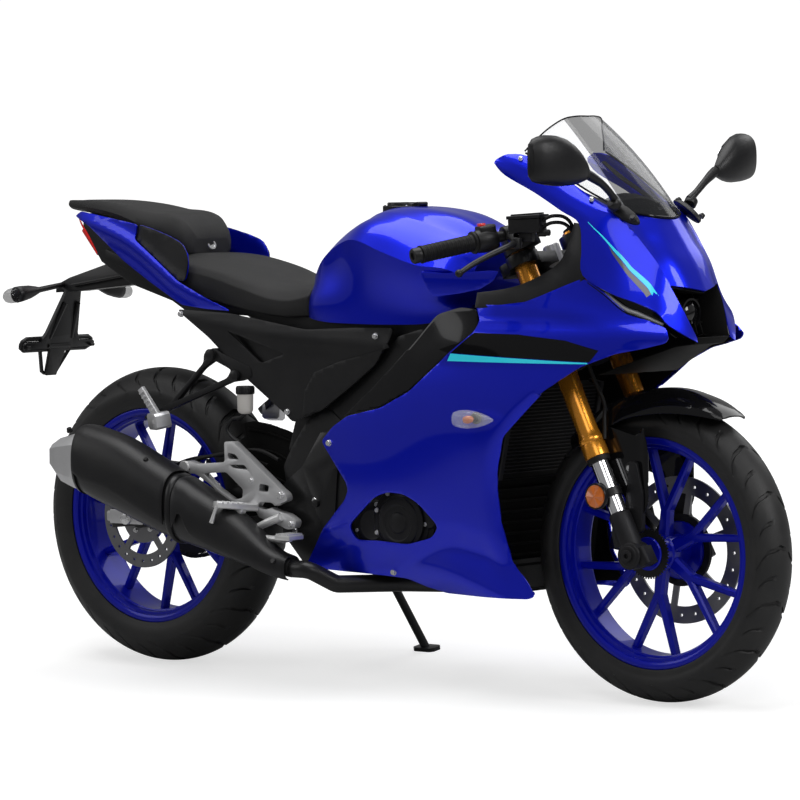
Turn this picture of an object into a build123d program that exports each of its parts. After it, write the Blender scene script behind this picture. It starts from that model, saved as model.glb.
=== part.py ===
from build123d import *
import os
from math import cos, hypot, radians, sin, tan

# A faired sport motorcycle parked on its side stand.
# Every piece is drawn in the upright frame: x forward from the rear axle, y to the
# rider's left, z up from the ground.  STANCE then leans it onto its stand.

# ---- driving dimensions, mm and degrees ----
WHEELBASE = 1325
CASTER = 25.5              # steering axis from the vertical
TRAIL = 95                 # steering axis ahead of the front contact point
LEAN = 9                   # parked lean to the left

REAR_R = 313.9
REAR_TYRE_W = 140
REAR_CROWN_DROP = 48
REAR_RIM_W = 118
FRONT_R = 295.9
FRONT_TYRE_W = 100
FRONT_CROWN_DROP = 38
FRONT_RIM_W = 86
BEAD_R = 218.3
FLANGE_R = 228
FLANGE_T = 5
BARREL_R = 203
AXLE_R = 7.5
AXLE_PLAY = 0.05
AXLE_BORE_R = 5            # the front axle is a tube
FIT_GAP = 0.3              # between pieces that touch in use
RUN_GAP = 5                # between pieces that move past each other
SKIN_T = 4                 # moulded panel thickness

FORK_Y = 95                # fork leg from the centre plane
STEM_R = 15
STEM_BORE_R = 7.5
STEM_BORE_DEPTH = 32
HEAD_TUBE_R = 31
GOLD_R = 22.5
COLLAR_R = 25.5
CHROME_R = 18
CAST_R = 23
CAST_TOP = 88              # distances along the fork leg from the front axle
CHROME_TOP = 207
LOWER_CLAMP = (424, 450)
HEAD_TUBE = (456, 614)
UPPER_CLAMP = (620, 644)
CLIP_ON = (648, 684)
FORK_TOP = 692

PIVOT = (534, 366)         # swingarm pivot, x and z
PIVOT_BOLT_R = 8
SPROCKET_DRIVE = (615, 385, 28.5)
SPROCKET_WHEEL_R = 97
CHAIN_Y = 83.5
CHAIN_W = 15
CHAIN_T = 9
FRONT_DISC_R = 146
FRONT_DISC_Y = 57.5
REAR_DISC_R = 110
REAR_DISC_Y = -80
DISC_T = 4.5

STAND_PIVOT = (500, 130, 205)
STAND_TILT = 28.6          # stand's pivot axis, up from level
STAND_RAKE = 9             # stand leg forward of its pivot
STAND_R = 9

CAP_X = 668                # filler cap centre on the tank
FILLER_R = 20
FILLER_DEPTH = 60
CAP_R = 36
CAP_T = 7
CAP_Z = 971                # tank crown at the cap
HINGE_X = CAP_X + CAP_R + 9


def crown_radius(width, drop):
    return (width * width / 4 + drop * drop) / (2 * drop)


LIFT = crown_radius(REAR_TYRE_W, REAR_CROWN_DROP) * (1 - cos(radians(LEAN)))
STANCE = Location((-WHEELBASE / 2, 0, LIFT), (-LEAN, 0, 0))
COS_C = cos(radians(CASTER))
SIN_C = sin(radians(CASTER))
# distance of the steering axis behind the fork legs, square to them
FORK_OFFSET = FRONT_R * SIN_C - TRAIL * COS_C
FORK = Plane(origin=(WHEELBASE, 0, FRONT_R), x_dir=(COS_C, 0, SIN_C),
             z_dir=(-SIN_C, 0, COS_C))


# ---- drawing helpers, each used inside a builder ----
def outline(points):
    """A closed straight-sided face in the current sketch."""
    with BuildLine() as line:
        Polyline(*points, close=True)
    make_face(line.edges())


def slab(points, near, far, mode=Mode.ADD):
    """A side outline (x, z) extruded between two distances right of centre."""
    with BuildSketch(Plane.XZ.offset(near)) as profile:
        outline(points)
    extrude(profile.sketch, amount=far - near, mode=mode)


def barrel(x, z, radius, near, far, mode=Mode.ADD):
    """A round boss or hole across the machine, right of centre by near to far."""
    with BuildSketch(Plane.XZ.offset(near)) as profile:
        with Locations((x, z)):
            Circle(radius)
    extrude(profile.sketch, amount=far - near, mode=mode)


def rod(start, end, radius, mode=Mode.ADD):
    """A straight round bar between two points."""
    run = Vector(*end) - Vector(*start)
    with BuildSketch(Plane(origin=start, z_dir=run)) as profile:
        Circle(radius)
    extrude(profile.sketch, amount=run.length, mode=mode)


def sections(rows, mode=Mode.ADD):
    """A ruled body through (x, ((y, z), ...)) sections."""
    profiles = []
    for x, points in rows:
        with BuildSketch(Plane.YZ.offset(x)) as profile:
            outline(points)
        profiles.append(profile.sketch)
    loft(profiles, ruled=True, mode=mode)


def right_skin(rows):
    """A thin moulded wall right of centre through (x, ((half width, z), ...))."""
    closed = []
    for x, wall in rows:
        outer = [(-y, z) for y, z in wall]
        inner = [(SKIN_T - y, z) for y, z in reversed(wall)]
        closed.append((x, outer + inner))
    sections(closed)


def keep(piece, label, place=Location()):
    """Label a finished piece, stand it in the parked stance and write it."""
    piece.part.label = label
    stood = (STANCE * place) * piece.part
    stood.label = label
    export_step(stood, f"parts/{label}.step")


os.makedirs("parts", exist_ok=True)

# ---- wheels: tyre and cast rim of each, drawn about their own axle ----
# name, axle x, tyre radius, tyre width, crown drop, rim width, first spoke angle,
# hub half length, disc flange side and half length
WHEELS = (
    ("front", WHEELBASE, FRONT_R, FRONT_TYRE_W, FRONT_CROWN_DROP, FRONT_RIM_W, 24,
     FRONT_DISC_Y - DISC_T / 2),
    ("rear", 0, REAR_R, REAR_TYRE_W, REAR_CROWN_DROP, REAR_RIM_W, 40,
     -REAR_DISC_Y - DISC_T / 2),
)
SPOKES = 6
HUB_R = 34
HUB_BORE = AXLE_R + AXLE_PLAY
SPOKE_HALF_DEPTH = 12
FORK_IN_SPOKE = 92         # radius where each spoke divides in two
SPOKE_SPREAD = 14
HUB_FLANGE_R = 58

for name, axle_x, tyre_r, tyre_w, drop, rim_w, first, hub_half in WHEELS:
    bead = rim_w / 2 - FLANGE_T
    side = tyre_w / 2
    with BuildPart() as tyre:
        with BuildSketch(Plane.XY):
            with BuildLine():
                Polyline((tyre_r - drop, side), (FLANGE_R + 22, side - 1.5),
                         (FLANGE_R + 2, rim_w / 2 + 1), (FLANGE_R + 2, bead - FIT_GAP),
                         (BEAD_R, bead - FIT_GAP), (BEAD_R, FIT_GAP - bead),
                         (FLANGE_R + 2, FIT_GAP - bead), (FLANGE_R + 2, -rim_w / 2 - 1),
                         (FLANGE_R + 22, 1.5 - side), (tyre_r - drop, -side))
                ThreePointArc((tyre_r - drop, -side), (tyre_r, 0), (tyre_r - drop, side))
            make_face()
        revolve(axis=Axis.Y)
    keep(tyre, name + "_tyre", Location((axle_x, 0, tyre_r)))

    with BuildPart() as rim:
        with BuildSketch(Plane.XY):
            outline(((BARREL_R, -rim_w / 2), (FLANGE_R, -rim_w / 2), (FLANGE_R, -bead),
                     (BEAD_R - FIT_GAP, -bead), (BEAD_R - FIT_GAP, bead), (FLANGE_R, bead),
                     (FLANGE_R, rim_w / 2), (BARREL_R, rim_w / 2)))
        revolve(axis=Axis.Y)
        with BuildSketch(Plane.XZ):
            for step in range(SPOKES):
                angle = first + step * 360 / SPOKES
                root = Vector(1, 0).rotate(Axis.Z, angle)
                left_tip = Vector(1, 0).rotate(Axis.Z, angle - SPOKE_SPREAD)
                right_tip = Vector(1, 0).rotate(Axis.Z, angle + SPOKE_SPREAD)
                # from radius, its half width, to radius, its half width
                for start, wide, end, narrow in (
                        (root * 20, 14, root * FORK_IN_SPOKE, 12),
                        (root * (FORK_IN_SPOKE - 14), 9, left_tip * (BARREL_R + 4), 7),
                        (root * (FORK_IN_SPOKE - 14), 9, right_tip * (BARREL_R + 4), 7)):
                    run = (end - start).normalized()
                    across = Vector(-run.Y, run.X)
                    corners = (start + across * wide, end + across * narrow,
                               end - across * narrow, start - across * wide)
                    outline([(c.X, c.Y) for c in corners])
        extrude(amount=SPOKE_HALF_DEPTH, both=True)
        flange_sign = -1 if name == "front" else 1
        barrel(0, 0, HUB_R, -hub_half, hub_half)
        barrel(0, 0, HUB_FLANGE_R, flange_sign * (hub_half - 9), flange_sign * hub_half)
        if name == "rear":
            barrel(0, 0, HUB_FLANGE_R, -hub_half, 9 - hub_half)
        barrel(0, 0, HUB_BORE, -hub_half - 5, hub_half + 5, Mode.SUBTRACT)
    keep(rim, name + "_rim", Location((axle_x, 0, tyre_r)))

# ---- brake discs and wheel sprocket ----
# name, axle x, axle z, side y, outer radius, band depth, arms
DISCS = (
    ("front_disc", WHEELBASE, FRONT_R, FRONT_DISC_Y, FRONT_DISC_R, 34, 6),
    ("rear_disc", 0, REAR_R, REAR_DISC_Y, REAR_DISC_R, 28, 5),
)
DISC_HUB_R = 57
DISC_BORE = 22
for name, x, z, y, disc_r, band, arms in DISCS:
    with BuildPart() as disc:
        with BuildSketch(Plane.XZ.offset(-y - DISC_T / 2)):
            Circle(disc_r)
            Circle(disc_r - band, mode=Mode.SUBTRACT)
            Circle(DISC_HUB_R)
            Circle(DISC_BORE, mode=Mode.SUBTRACT)
            with PolarLocations((DISC_HUB_R + disc_r - band) / 2, arms, start_angle=20):
                Rectangle(disc_r - band - DISC_HUB_R + 8, 14)
            with PolarLocations(disc_r - band / 2, 24):
                Circle(3.2, mode=Mode.SUBTRACT)
        extrude(amount=DISC_T)
    keep(disc, name, Location((x, 0, z)))

SPROCKET_T = 6
SPROCKET_INNER_Y = -REAR_DISC_Y - DISC_T / 2
with BuildPart() as sprocket:
    with BuildSketch(Plane.XZ.offset(-SPROCKET_INNER_Y - SPROCKET_T)):
        Circle(SPROCKET_WHEEL_R - CHAIN_T / 2 - FIT_GAP)
        Circle(DISC_BORE, mode=Mode.SUBTRACT)
        with PolarLocations(70, 5):
            Circle(9, mode=Mode.SUBTRACT)
    extrude(amount=SPROCKET_T)
keep(sprocket, "rear_sprocket", Location((0, 0, REAR_R)))

# ---- axles ----
REAR_ARM_Y = (96, 124)     # inner and outer face of the swingarm at the axle
SPACER_R = 14
with BuildPart() as rear_axle:
    hub_end = -REAR_DISC_Y - DISC_T / 2
    barrel(0, REAR_R, AXLE_R, -REAR_ARM_Y[1] - 14, REAR_ARM_Y[1] + 14)
    for inner, outer in ((REAR_ARM_Y[1] + FIT_GAP, REAR_ARM_Y[1] + 12),):
        barrel(0, REAR_R, 15, inner, outer)
        barrel(0, REAR_R, 15, -outer, -inner)
    barrel(0, REAR_R, SPACER_R, hub_end + 1, REAR_ARM_Y[0] - FIT_GAP)
    barrel(0, REAR_R, SPACER_R, FIT_GAP - REAR_ARM_Y[0], -hub_end - 1)
keep(rear_axle, "rear_axle")

CALIPER_Y = (42, 86)
FENDER_Y = FORK_Y - COLLAR_R - FIT_GAP
FENDER_LUG_Y = (FENDER_Y + FIT_GAP, FENDER_Y + 12)
LUG_Y = (FORK_Y - CAST_R, FORK_Y + CAST_R)
with BuildPart() as front_axle:
    hub_end = FRONT_DISC_Y - DISC_T / 2
    barrel(WHEELBASE, FRONT_R, AXLE_R, -LUG_Y[1] - 6, LUG_Y[1] + 6)
    barrel(WHEELBASE, FRONT_R, 13, hub_end + 1, LUG_Y[0] - FIT_GAP)
    barrel(WHEELBASE, FRONT_R, 13, FIT_GAP - LUG_Y[0], -hub_end - 1)
    barrel(WHEELBASE, FRONT_R, 12, LUG_Y[1] + FIT_GAP, LUG_Y[1] + 6)
    barrel(WHEELBASE, FRONT_R, 12, -LUG_Y[1] - 6, -LUG_Y[1] - FIT_GAP)
    barrel(WHEELBASE, FRONT_R, AXLE_BORE_R, -LUG_Y[1] - 7, LUG_Y[1] + 7, Mode.SUBTRACT)
keep(front_axle, "front_axle")

# ---- fork ----
with BuildPart() as fork_sliders:
    for y in (-FORK_Y, FORK_Y):
        with BuildSketch(FORK.offset(-16)):
            with Locations((0, y)):
                Circle(CAST_R)
        extrude(amount=CAST_TOP + 16)
        with BuildSketch(FORK.offset(CAST_TOP)):
            with Locations((0, y)):
                Circle(CHROME_R)
        extrude(amount=CHROME_TOP - CAST_TOP)
    for near, far in (LUG_Y, (-LUG_Y[1], -LUG_Y[0])):
        barrel(WHEELBASE, FRONT_R, 27, near, far)
        barrel(WHEELBASE, FRONT_R, AXLE_R + FIT_GAP, near - 20, far + 20, Mode.SUBTRACT)
    # fender lugs ahead of the legs, caliper lug behind the left one
    for near, far in (FENDER_LUG_Y, (-FENDER_LUG_Y[1], -FENDER_LUG_Y[0])):
        slab(((1288, 330), (1289, 372), (1302, 478), (1318, 478), (1334, 412), (1332, 340)),
             near, far)
    with BuildSketch(FORK.offset(40)) as lug:
        with Locations((-44, CALIPER_Y[1] + FIT_GAP + 6)):
            Rectangle(76, 12)
    extrude(lug.sketch, amount=44)
keep(fork_sliders, "fork_sliders")

with BuildPart() as fork_tubes:
    for y in (-FORK_Y, FORK_Y):
        # station along the leg, radius, length
        for station, radius, length in ((CHROME_TOP, COLLAR_R, 40),
                                        (CHROME_TOP + 40, GOLD_R, FORK_TOP - CHROME_TOP - 40)):
            with BuildSketch(FORK.offset(station)):
                with Locations((0, y)):
                    Circle(radius)
            extrude(amount=length)
keep(fork_tubes, "fork_tubes")

with BuildPart() as triple_clamps:
    for low, high in (LOWER_CLAMP, UPPER_CLAMP):
        with BuildSketch(FORK.offset(low)):
            with Locations((-FORK_OFFSET / 2, 0)):
                RectangleRounded(FORK_OFFSET + 40, 2 * FORK_Y + 20, 14)
            for y in (-FORK_Y, FORK_Y):
                with Locations((0, y)):
                    Circle(GOLD_R + 11)
            for y in (-FORK_Y, FORK_Y):
                with Locations((0, y)):
                    Circle(GOLD_R + FIT_GAP, mode=Mode.SUBTRACT)
        extrude(amount=high - low)
    with BuildSketch(FORK.offset(LOWER_CLAMP[0] - 12)):
        with Locations((-FORK_OFFSET, 0)):
            Circle(STEM_R + 7)
    extrude(amount=12)
    with BuildSketch(FORK.offset(LOWER_CLAMP[0])):
        with Locations((-FORK_OFFSET, 0)):
            Circle(STEM_R)
    extrude(amount=UPPER_CLAMP[1] + 12 - LOWER_CLAMP[0])
    with BuildSketch(FORK.offset(LOWER_CLAMP[0] - 12)):
        with Locations((-FORK_OFFSET, 0)):
            Circle(STEM_BORE_R)
    extrude(amount=STEM_BORE_DEPTH, mode=Mode.SUBTRACT)
keep(triple_clamps, "triple_clamps")

# ---- handlebars: a clip-on either side, then grips, levers and brake reservoir ----
BAR_INNER = (1066, 112, 925)
BAR_OUTER = (972, 335, 881)
BAR_R = 11
GRIP_R = 17


def along_bar(side, distance):
    """Point on the clip-on tube, a distance out from its inner end."""
    run = Vector(*BAR_OUTER) - Vector(*BAR_INNER)
    point = Vector(*BAR_INNER) + run.normalized() * distance
    return (point.X, side * point.Y, point.Z)


BAR_LENGTH = hypot(BAR_OUTER[0] - BAR_INNER[0], BAR_OUTER[1] - BAR_INNER[1],
                   BAR_OUTER[2] - BAR_INNER[2])
GRIP_LENGTH = 122
with BuildPart() as handlebars:
    for side in (-1, 1):
        with BuildSketch(FORK.offset(CLIP_ON[0])):
            with Locations((0, side * FORK_Y)):
                Circle(GOLD_R + 9)
            with Locations((30, side * (FORK_Y + 8))):
                Rectangle(44, 30)
            with Locations((0, side * FORK_Y)):
                Circle(GOLD_R + FIT_GAP, mode=Mode.SUBTRACT)
        extrude(amount=CLIP_ON[1] - CLIP_ON[0])
        rod(along_bar(side, -8), along_bar(side, BAR_LENGTH - 14), BAR_R)
keep(handlebars, "handlebars")

with BuildPart() as grips:
    for side in (-1, 1):
        start = BAR_LENGTH - 14 - GRIP_LENGTH
        rod(along_bar(side, start), along_bar(side, BAR_LENGTH - 14), GRIP_R)
        rod(along_bar(side, start), along_bar(side, start + 5), GRIP_R + 6)
        rod(along_bar(side, start - 1), along_bar(side, BAR_LENGTH - 14), BAR_R + FIT_GAP,
            Mode.SUBTRACT)
        rod(along_bar(side, BAR_LENGTH - 14 + FIT_GAP), along_bar(side, BAR_LENGTH + 4), 16)
keep(grips, "grips")

LEVER_POINTS = ((1098, 196, 905), (1090, 232, 896), (1060, 300, 872), (1056, 322, 864))
with BuildPart() as hand_controls:
    for side in (-1, 1):
        start = BAR_LENGTH - 14 - GRIP_LENGTH
        rod(along_bar(side, start - 46), along_bar(side, start - 2), 22)
        rod(along_bar(side, start - 80), along_bar(side, start - 46), 18)
        rod(along_bar(side, start - 81), along_bar(side, start), BAR_R + FIT_GAP,
            Mode.SUBTRACT)
        rod((1060, side * 172, 905), (1100, side * 196, 905), 12)
        for first, second in zip(LEVER_POINTS, LEVER_POINTS[1:]):
            rod((first[0], side * first[1], first[2]),
                (second[0], side * second[1], second[2]), 6)
    # reservoir over the right control
    with BuildSketch(Plane(origin=(1112, -162, 912), z_dir=(0, 0, 1))):
        RectangleRounded(46, 52, 8)
    extrude(amount=48)
keep(hand_controls, "hand_controls")

# ---- front fender ----
FENDER_GAP = 18
FENDER_R = FRONT_R + FENDER_GAP
with BuildPart() as front_fender:
    with BuildSketch(Plane.XY):
        outline(((FENDER_R + 4, 0), (FENDER_R - 4, 44), (FENDER_R - 36, FENDER_Y),
                 (FENDER_R - 40, FENDER_Y - SKIN_T), (FENDER_R - 8, 40), (FENDER_R, 0),
                 (FENDER_R - 8, -40), (FENDER_R - 40, SKIN_T - FENDER_Y),
                 (FENDER_R - 36, -FENDER_Y), (FENDER_R - 4, -44)))
    revolve(axis=Axis.Y)
    # keep the arc over the top of the tyre: corners from the axle
    slab(((0, 0), (206, 238), (206, 400), (-170, 400), (-170, 200)), -100, 100,
         Mode.INTERSECT)
    for near in (FENDER_Y - SKIN_T, -FENDER_Y):
        slab(((-126, 248), (-60, 272), (24, 276), (30, 232), (4, 160), (-8, 60), (-30, 70),
              (-60, 130), (-118, 190)), near, near + SKIN_T)
keep(front_fender, "front_fender", Location((WHEELBASE, 0, FRONT_R)))

# ---- front caliper on the left leg ----
with BuildPart() as front_caliper:
    slab(((-168, -4), (-92, -14), (-82, 46), (-92, 82), (-156, 72)), -CALIPER_Y[1],
         -CALIPER_Y[0])
    barrel(0, 0, FRONT_DISC_R + RUN_GAP, -FRONT_DISC_Y - DISC_T / 2 - RUN_GAP,
           -FRONT_DISC_Y + DISC_T / 2 + RUN_GAP, Mode.SUBTRACT)
keep(front_caliper, "front_caliper", Location((WHEELBASE, 0, FRONT_R)))

# ---- frame ----
STAY_HALF = 14
LAMP_BACK = 1264.4
STAND_LUG_Y = 114
STAND_PIN_R = 6


def stand_point(along, out=0):
    """Point on the side stand's pivot axis, and out from it along the lowered leg."""
    tilt = radians(STAND_TILT)
    rake = radians(STAND_RAKE)
    axis = Vector(0, cos(tilt), sin(tilt))
    leg = Vector(sin(rake), cos(rake) * sin(tilt), -cos(rake) * cos(tilt))
    return Vector(*STAND_PIVOT) + axis * along + leg * out


SPAR = (                   # x, inner y, outer y, low z, high z
    (1062, 14, 56, 706, 800),
    (900, 82, 116, 622, 728),
    (700, 98, 130, 518, 602),
    (560, 98, 128, 425, 512),
)
SPAR_SLOPE_LOW = (SPAR[0][3] - SPAR[1][3]) / (SPAR[0][0] - SPAR[1][0])
SPAR_SLOPE_HIGH = (SPAR[1][4] - SPAR[2][4]) / (SPAR[1][0] - SPAR[2][0])


def spar_under(x):
    """Height of the front spar's underside."""
    return SPAR[1][3] + (x - SPAR[1][0]) * SPAR_SLOPE_LOW


def spar_over(x):
    """Height of the rear spar's top."""
    return SPAR[1][4] + (x - SPAR[1][0]) * SPAR_SLOPE_HIGH


# fairing stays: x, z, spar face and end, from the centre plane
FAIRING_STAYS = ((900, 636, 110, 187), (620, 490, 124, 159.4))
STAY_R = 6
PIVOT_PLATE = ((440, 300), (498, 240), (572, 240), (590, 440), (580, 512), (545, 512),
               (494, 440), (440, 400))
PLATE_Y = (98, 128)
BRACKET_Y = (PLATE_Y[1] + FIT_GAP, PLATE_Y[1] + 14)
with BuildPart() as frame:
    with BuildSketch(FORK.offset(HEAD_TUBE[0])):
        with Locations((-FORK_OFFSET, 0)):
            Circle(HEAD_TUBE_R)
    extrude(amount=HEAD_TUBE[1] - HEAD_TUBE[0])
    for side in (-1, 1):
        sections([(x, ((side * a, low), (side * b, low), (side * b, high), (side * a, high)))
                  for x, a, b, low, high in SPAR])
    for near, far in (PLATE_Y, (-PLATE_Y[1], -PLATE_Y[0])):
        slab(PIVOT_PLATE, near, far)
    barrel(PIVOT[0], PIVOT[1], PIVOT_BOLT_R, -PLATE_Y[1] - 8, PLATE_Y[1] + 8)
    barrel(565, 495, 12, -PLATE_Y[0] - 2, PLATE_Y[0] + 2)
    barrel(535, 260, 12, -PLATE_Y[0] - 2, PLATE_Y[0] + 2)
    # stay ahead of the head tube for the gauge, lamp and cowl
    slab(((1060, 740), (1235, 785), (1264, 928), (1246, 928), (1218, 812), (1060, 790)),
         -STAY_HALF, STAY_HALF)
    slab(((1218, 778), (LAMP_BACK - FIT_GAP, 786), (LAMP_BACK - FIT_GAP, 800), (1226, 806)),
         -STAY_HALF, STAY_HALF)
    for x, z, near, far in FAIRING_STAYS:
        barrel(x, z, STAY_R, near, far)
        barrel(x, z, STAY_R, -far, -near)
    # side stand lug and pin
    slab(((486, 190), (516, 190), (560, 250), (498, 262)), -STAND_LUG_Y, -PLATE_Y[0])
    rod(stand_point(-20), stand_point(14), STAND_PIN_R)
    with BuildSketch(FORK.offset(HEAD_TUBE[0] - 20)):
        with Locations((-FORK_OFFSET, 0)):
            Circle(STEM_R + AXLE_PLAY)
    extrude(amount=HEAD_TUBE[1] - HEAD_TUBE[0] + 40, mode=Mode.SUBTRACT)
keep(frame, "frame")

RAIL = ((578, 485), (578, 520), (440, 668), (260, 746), (0, 850), (-90, 880), (-90, 858),
        (0, 828), (238, 700), (236, 645), (340, 605), (420, 625), (552, 482))
RAIL_Y = (72, 90)


def rail_over(x):
    """Height of the seat rail's top between its two rear corners."""
    return 746 + (260 - x) * (850 - 746) / 260


# stays to the tail panels: x, z and end, from the centre plane
TAIL_STAYS = ((118, 798, 123.1), (165, 778, 129.7))
with BuildPart() as subframe:
    for near, far in (RAIL_Y, (-RAIL_Y[1], -RAIL_Y[0])):
        slab(RAIL, near, far)
    for x, z, tube_r in ((440, 645, 11), (130, 780, 9)):
        barrel(x, z, tube_r, -RAIL_Y[0] - 2, RAIL_Y[0] + 2)
    for x, z, end in TAIL_STAYS:
        barrel(x, z, 5, RAIL_Y[0] + 2, end)
        barrel(x, z, 5, -end, -RAIL_Y[0] - 2)
    barrel(565, 495, 12 + FIT_GAP, -RAIL_Y[1] - 2, RAIL_Y[1] + 2, Mode.SUBTRACT)
keep(subframe, "subframe")

# ---- engine ----
CASE_HALF = 92
CASE_TOP = 470
with BuildPart() as engine_case:
    slab(((592, 290), (592, 420), (660, CASE_TOP), (856, CASE_TOP), (872, 400), (872, 290),
          (840, 248), (660, 244)), -CASE_HALF, CASE_HALF)
    # hangers up to the spars
    for near, far in ((80, PLATE_Y[0] - FIT_GAP), (FIT_GAP - PLATE_Y[0], -80)):
        slab(((640, 455), (700, 455), (690, 545), (652, 535)), near, far)
    barrel(782, 340, 74, CASE_HALF, 140)
    barrel(782, 340, 52, 140, 150)
    barrel(690, 330, 58, CASE_HALF, 128)
    barrel(768, 335, 68, -142, -CASE_HALF)
    barrel(SPROCKET_DRIVE[0], SPROCKET_DRIVE[1], 44, -CASE_HALF - 1, -72, Mode.SUBTRACT)
    slab(((580, 320), (615, 320), (615, 441), (580, 441)), -CASE_HALF - 1, -72, Mode.SUBTRACT)
keep(engine_case, "engine_case")

with BuildPart() as cylinder:
    with BuildSketch(Plane(origin=(800, 0, 462), x_dir=(1, 0, 0), z_dir=(0.28, 0, 1))):
        Rectangle(104, 120)
    extrude(amount=100)
    with BuildSketch(Plane(origin=(827, 0, 558), x_dir=(1, 0, 0), z_dir=(0.28, 0, 1))):
        RectangleRounded(122, 140, 12)
    extrude(amount=70)
    split(bisect_by=Plane.XY.offset(CASE_TOP + FIT_GAP), keep=Keep.TOP)
keep(cylinder, "cylinder")

with BuildPart() as radiator:
    with BuildSketch(Plane(origin=(1004, 0, 440), x_dir=(0, 1, 0), z_dir=(0.22, 0, 1))):
        Rectangle(290, 36)
    extrude(amount=180)
    # hangers up to the spars' undersides
    for near, far in ((58, 70), (-70, -58)):
        slab(((990, spar_under(990) - FIT_GAP), (1008, spar_under(1008) - FIT_GAP),
              (1048, 606), (1030, 590)), near, far)
keep(radiator, "radiator")

# ---- swingarm ----
SPOOL_HOLE = (62, 316)
SPOOL_HOLE_R = 4
SPOOL_HOLE_DEPTH = 14
ARM = (                    # x, inner y, outer y, low z, high z
    (552, 72, 94, 350, 384),
    (430, 74, 96, 345, 397),
    (330, 96, 124, 328, 392),
    (-48, 96, 124, 290, 337),
)
with BuildPart() as swingarm:
    for side in (-1, 1):
        sections([(x, ((side * a, low), (side * b, low), (side * b, high), (side * a, high)))
                  for x, a, b, low, high in ARM])
    slab(((348, 345), (398, 345), (398, 392), (348, 392)), -92, 92)
    barrel(PIVOT[0], PIVOT[1], PIVOT_BOLT_R + FIT_GAP, -100, 100, Mode.SUBTRACT)
    barrel(0, REAR_R, AXLE_R + FIT_GAP, -130, 130, Mode.SUBTRACT)
    # lifting stand bobbins screw in behind the axle
    for side in (-1, 1):
        spool_mouth = side * REAR_ARM_Y[1]
        barrel(SPOOL_HOLE[0], SPOOL_HOLE[1], SPOOL_HOLE_R, spool_mouth - side * SPOOL_HOLE_DEPTH,
               spool_mouth + side, Mode.SUBTRACT)
keep(swingarm, "swingarm")

with BuildPart() as rear_shock:
    rod((385, 0, 400), (450, 0, 632), 16)
    rod((398, 0, 430), (436, 0, 580), 31)
    barrel(380, 406, 14, -20, 20)
    split(bisect_by=Plane.XY.offset(392 + FIT_GAP), keep=Keep.TOP)
    barrel(440, 645, 22, -18, 18)
    barrel(440, 645, 11 + FIT_GAP, -30, 30, Mode.SUBTRACT)
keep(rear_shock, "rear_shock")

with BuildPart() as chain:
    drive_x, drive_z, drive_r = SPROCKET_DRIVE
    with BuildSketch(Plane.XZ.offset(-CHAIN_Y - CHAIN_W / 2)):
        for grow, mode in ((CHAIN_T / 2, Mode.ADD), (-CHAIN_T / 2, Mode.SUBTRACT)):
            wheel_r = SPROCKET_WHEEL_R + grow
            small_r = drive_r + grow
            make_hull(Edge.make_circle(wheel_r, Plane((0, REAR_R, 0))).edges()
                      + Edge.make_circle(small_r, Plane((drive_x, drive_z, 0))).edges(),
                      mode=mode)
    extrude(amount=CHAIN_W)
keep(chain, "chain")

with BuildPart() as drive_sprocket:
    barrel(drive_x, drive_z, drive_r - CHAIN_T / 2 - FIT_GAP, -88, -72 - FIT_GAP)
keep(drive_sprocket, "drive_sprocket")

CARRIER_Y = (87.6, 94)     # caliper carrier, inner and outer face
with BuildPart() as rear_caliper:
    slab(((20, 66), (92, 60), (128, 76), (112, 118), (40, 122)), 66, CARRIER_Y[1])
    slab(((-14, 20), (16, -18), (92, 60), (40, 122)), *CARRIER_Y)
    barrel(0, 0, 25, *CARRIER_Y)
    barrel(0, 0, SPACER_R + FIT_GAP, CARRIER_Y[0] - 1, CARRIER_Y[1] + 1, Mode.SUBTRACT)
    barrel(0, 0, REAR_DISC_R + RUN_GAP, -REAR_DISC_Y - DISC_T / 2 - RUN_GAP,
           -REAR_DISC_Y + DISC_T / 2 + RUN_GAP, Mode.SUBTRACT)
keep(rear_caliper, "rear_caliper", Location((0, 0, REAR_R)))

# ---- fuel tank ----
TANK = (                   # x; low z, half width; crease z, half; shoulder z, half; top z
    (440, 775, 30, 796, 44, 812, 30, 822),
    (500, 745, 108, 862, 116, 893, 70, 905),
    (570, 738, 128, 902, 138, 938, 85, 948),
    (650, 736, 132, 903, 155, 960, 95, 970),
    (740, 736, 132, 882, 163, 955, 100, 970),
    (830, 740, 122, 846, 163, 932, 95, 955),
    (920, 770, 100, 826, 148, 900, 85, 925),
    (940, 790, 88, 822, 116, 880, 72, 903),
)


def tank_body(grow, mode=Mode.ADD):
    """The tank's outer form, let out by grow on every side."""
    rows = []
    for x, low, foot, crease, belt, shoulder, round_y, top in TANK:
        half = ((0, low - grow), (foot + grow, low - grow), (belt + grow, crease),
                (round_y + grow, shoulder + grow), (0, top + grow))
        left = [(-y, z) for y, z in reversed(half[1:-1])]
        rows.append((x, list(half) + left))
    rows[0] = (TANK[0][0] - grow, rows[0][1])
    sections(rows, mode)


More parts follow.
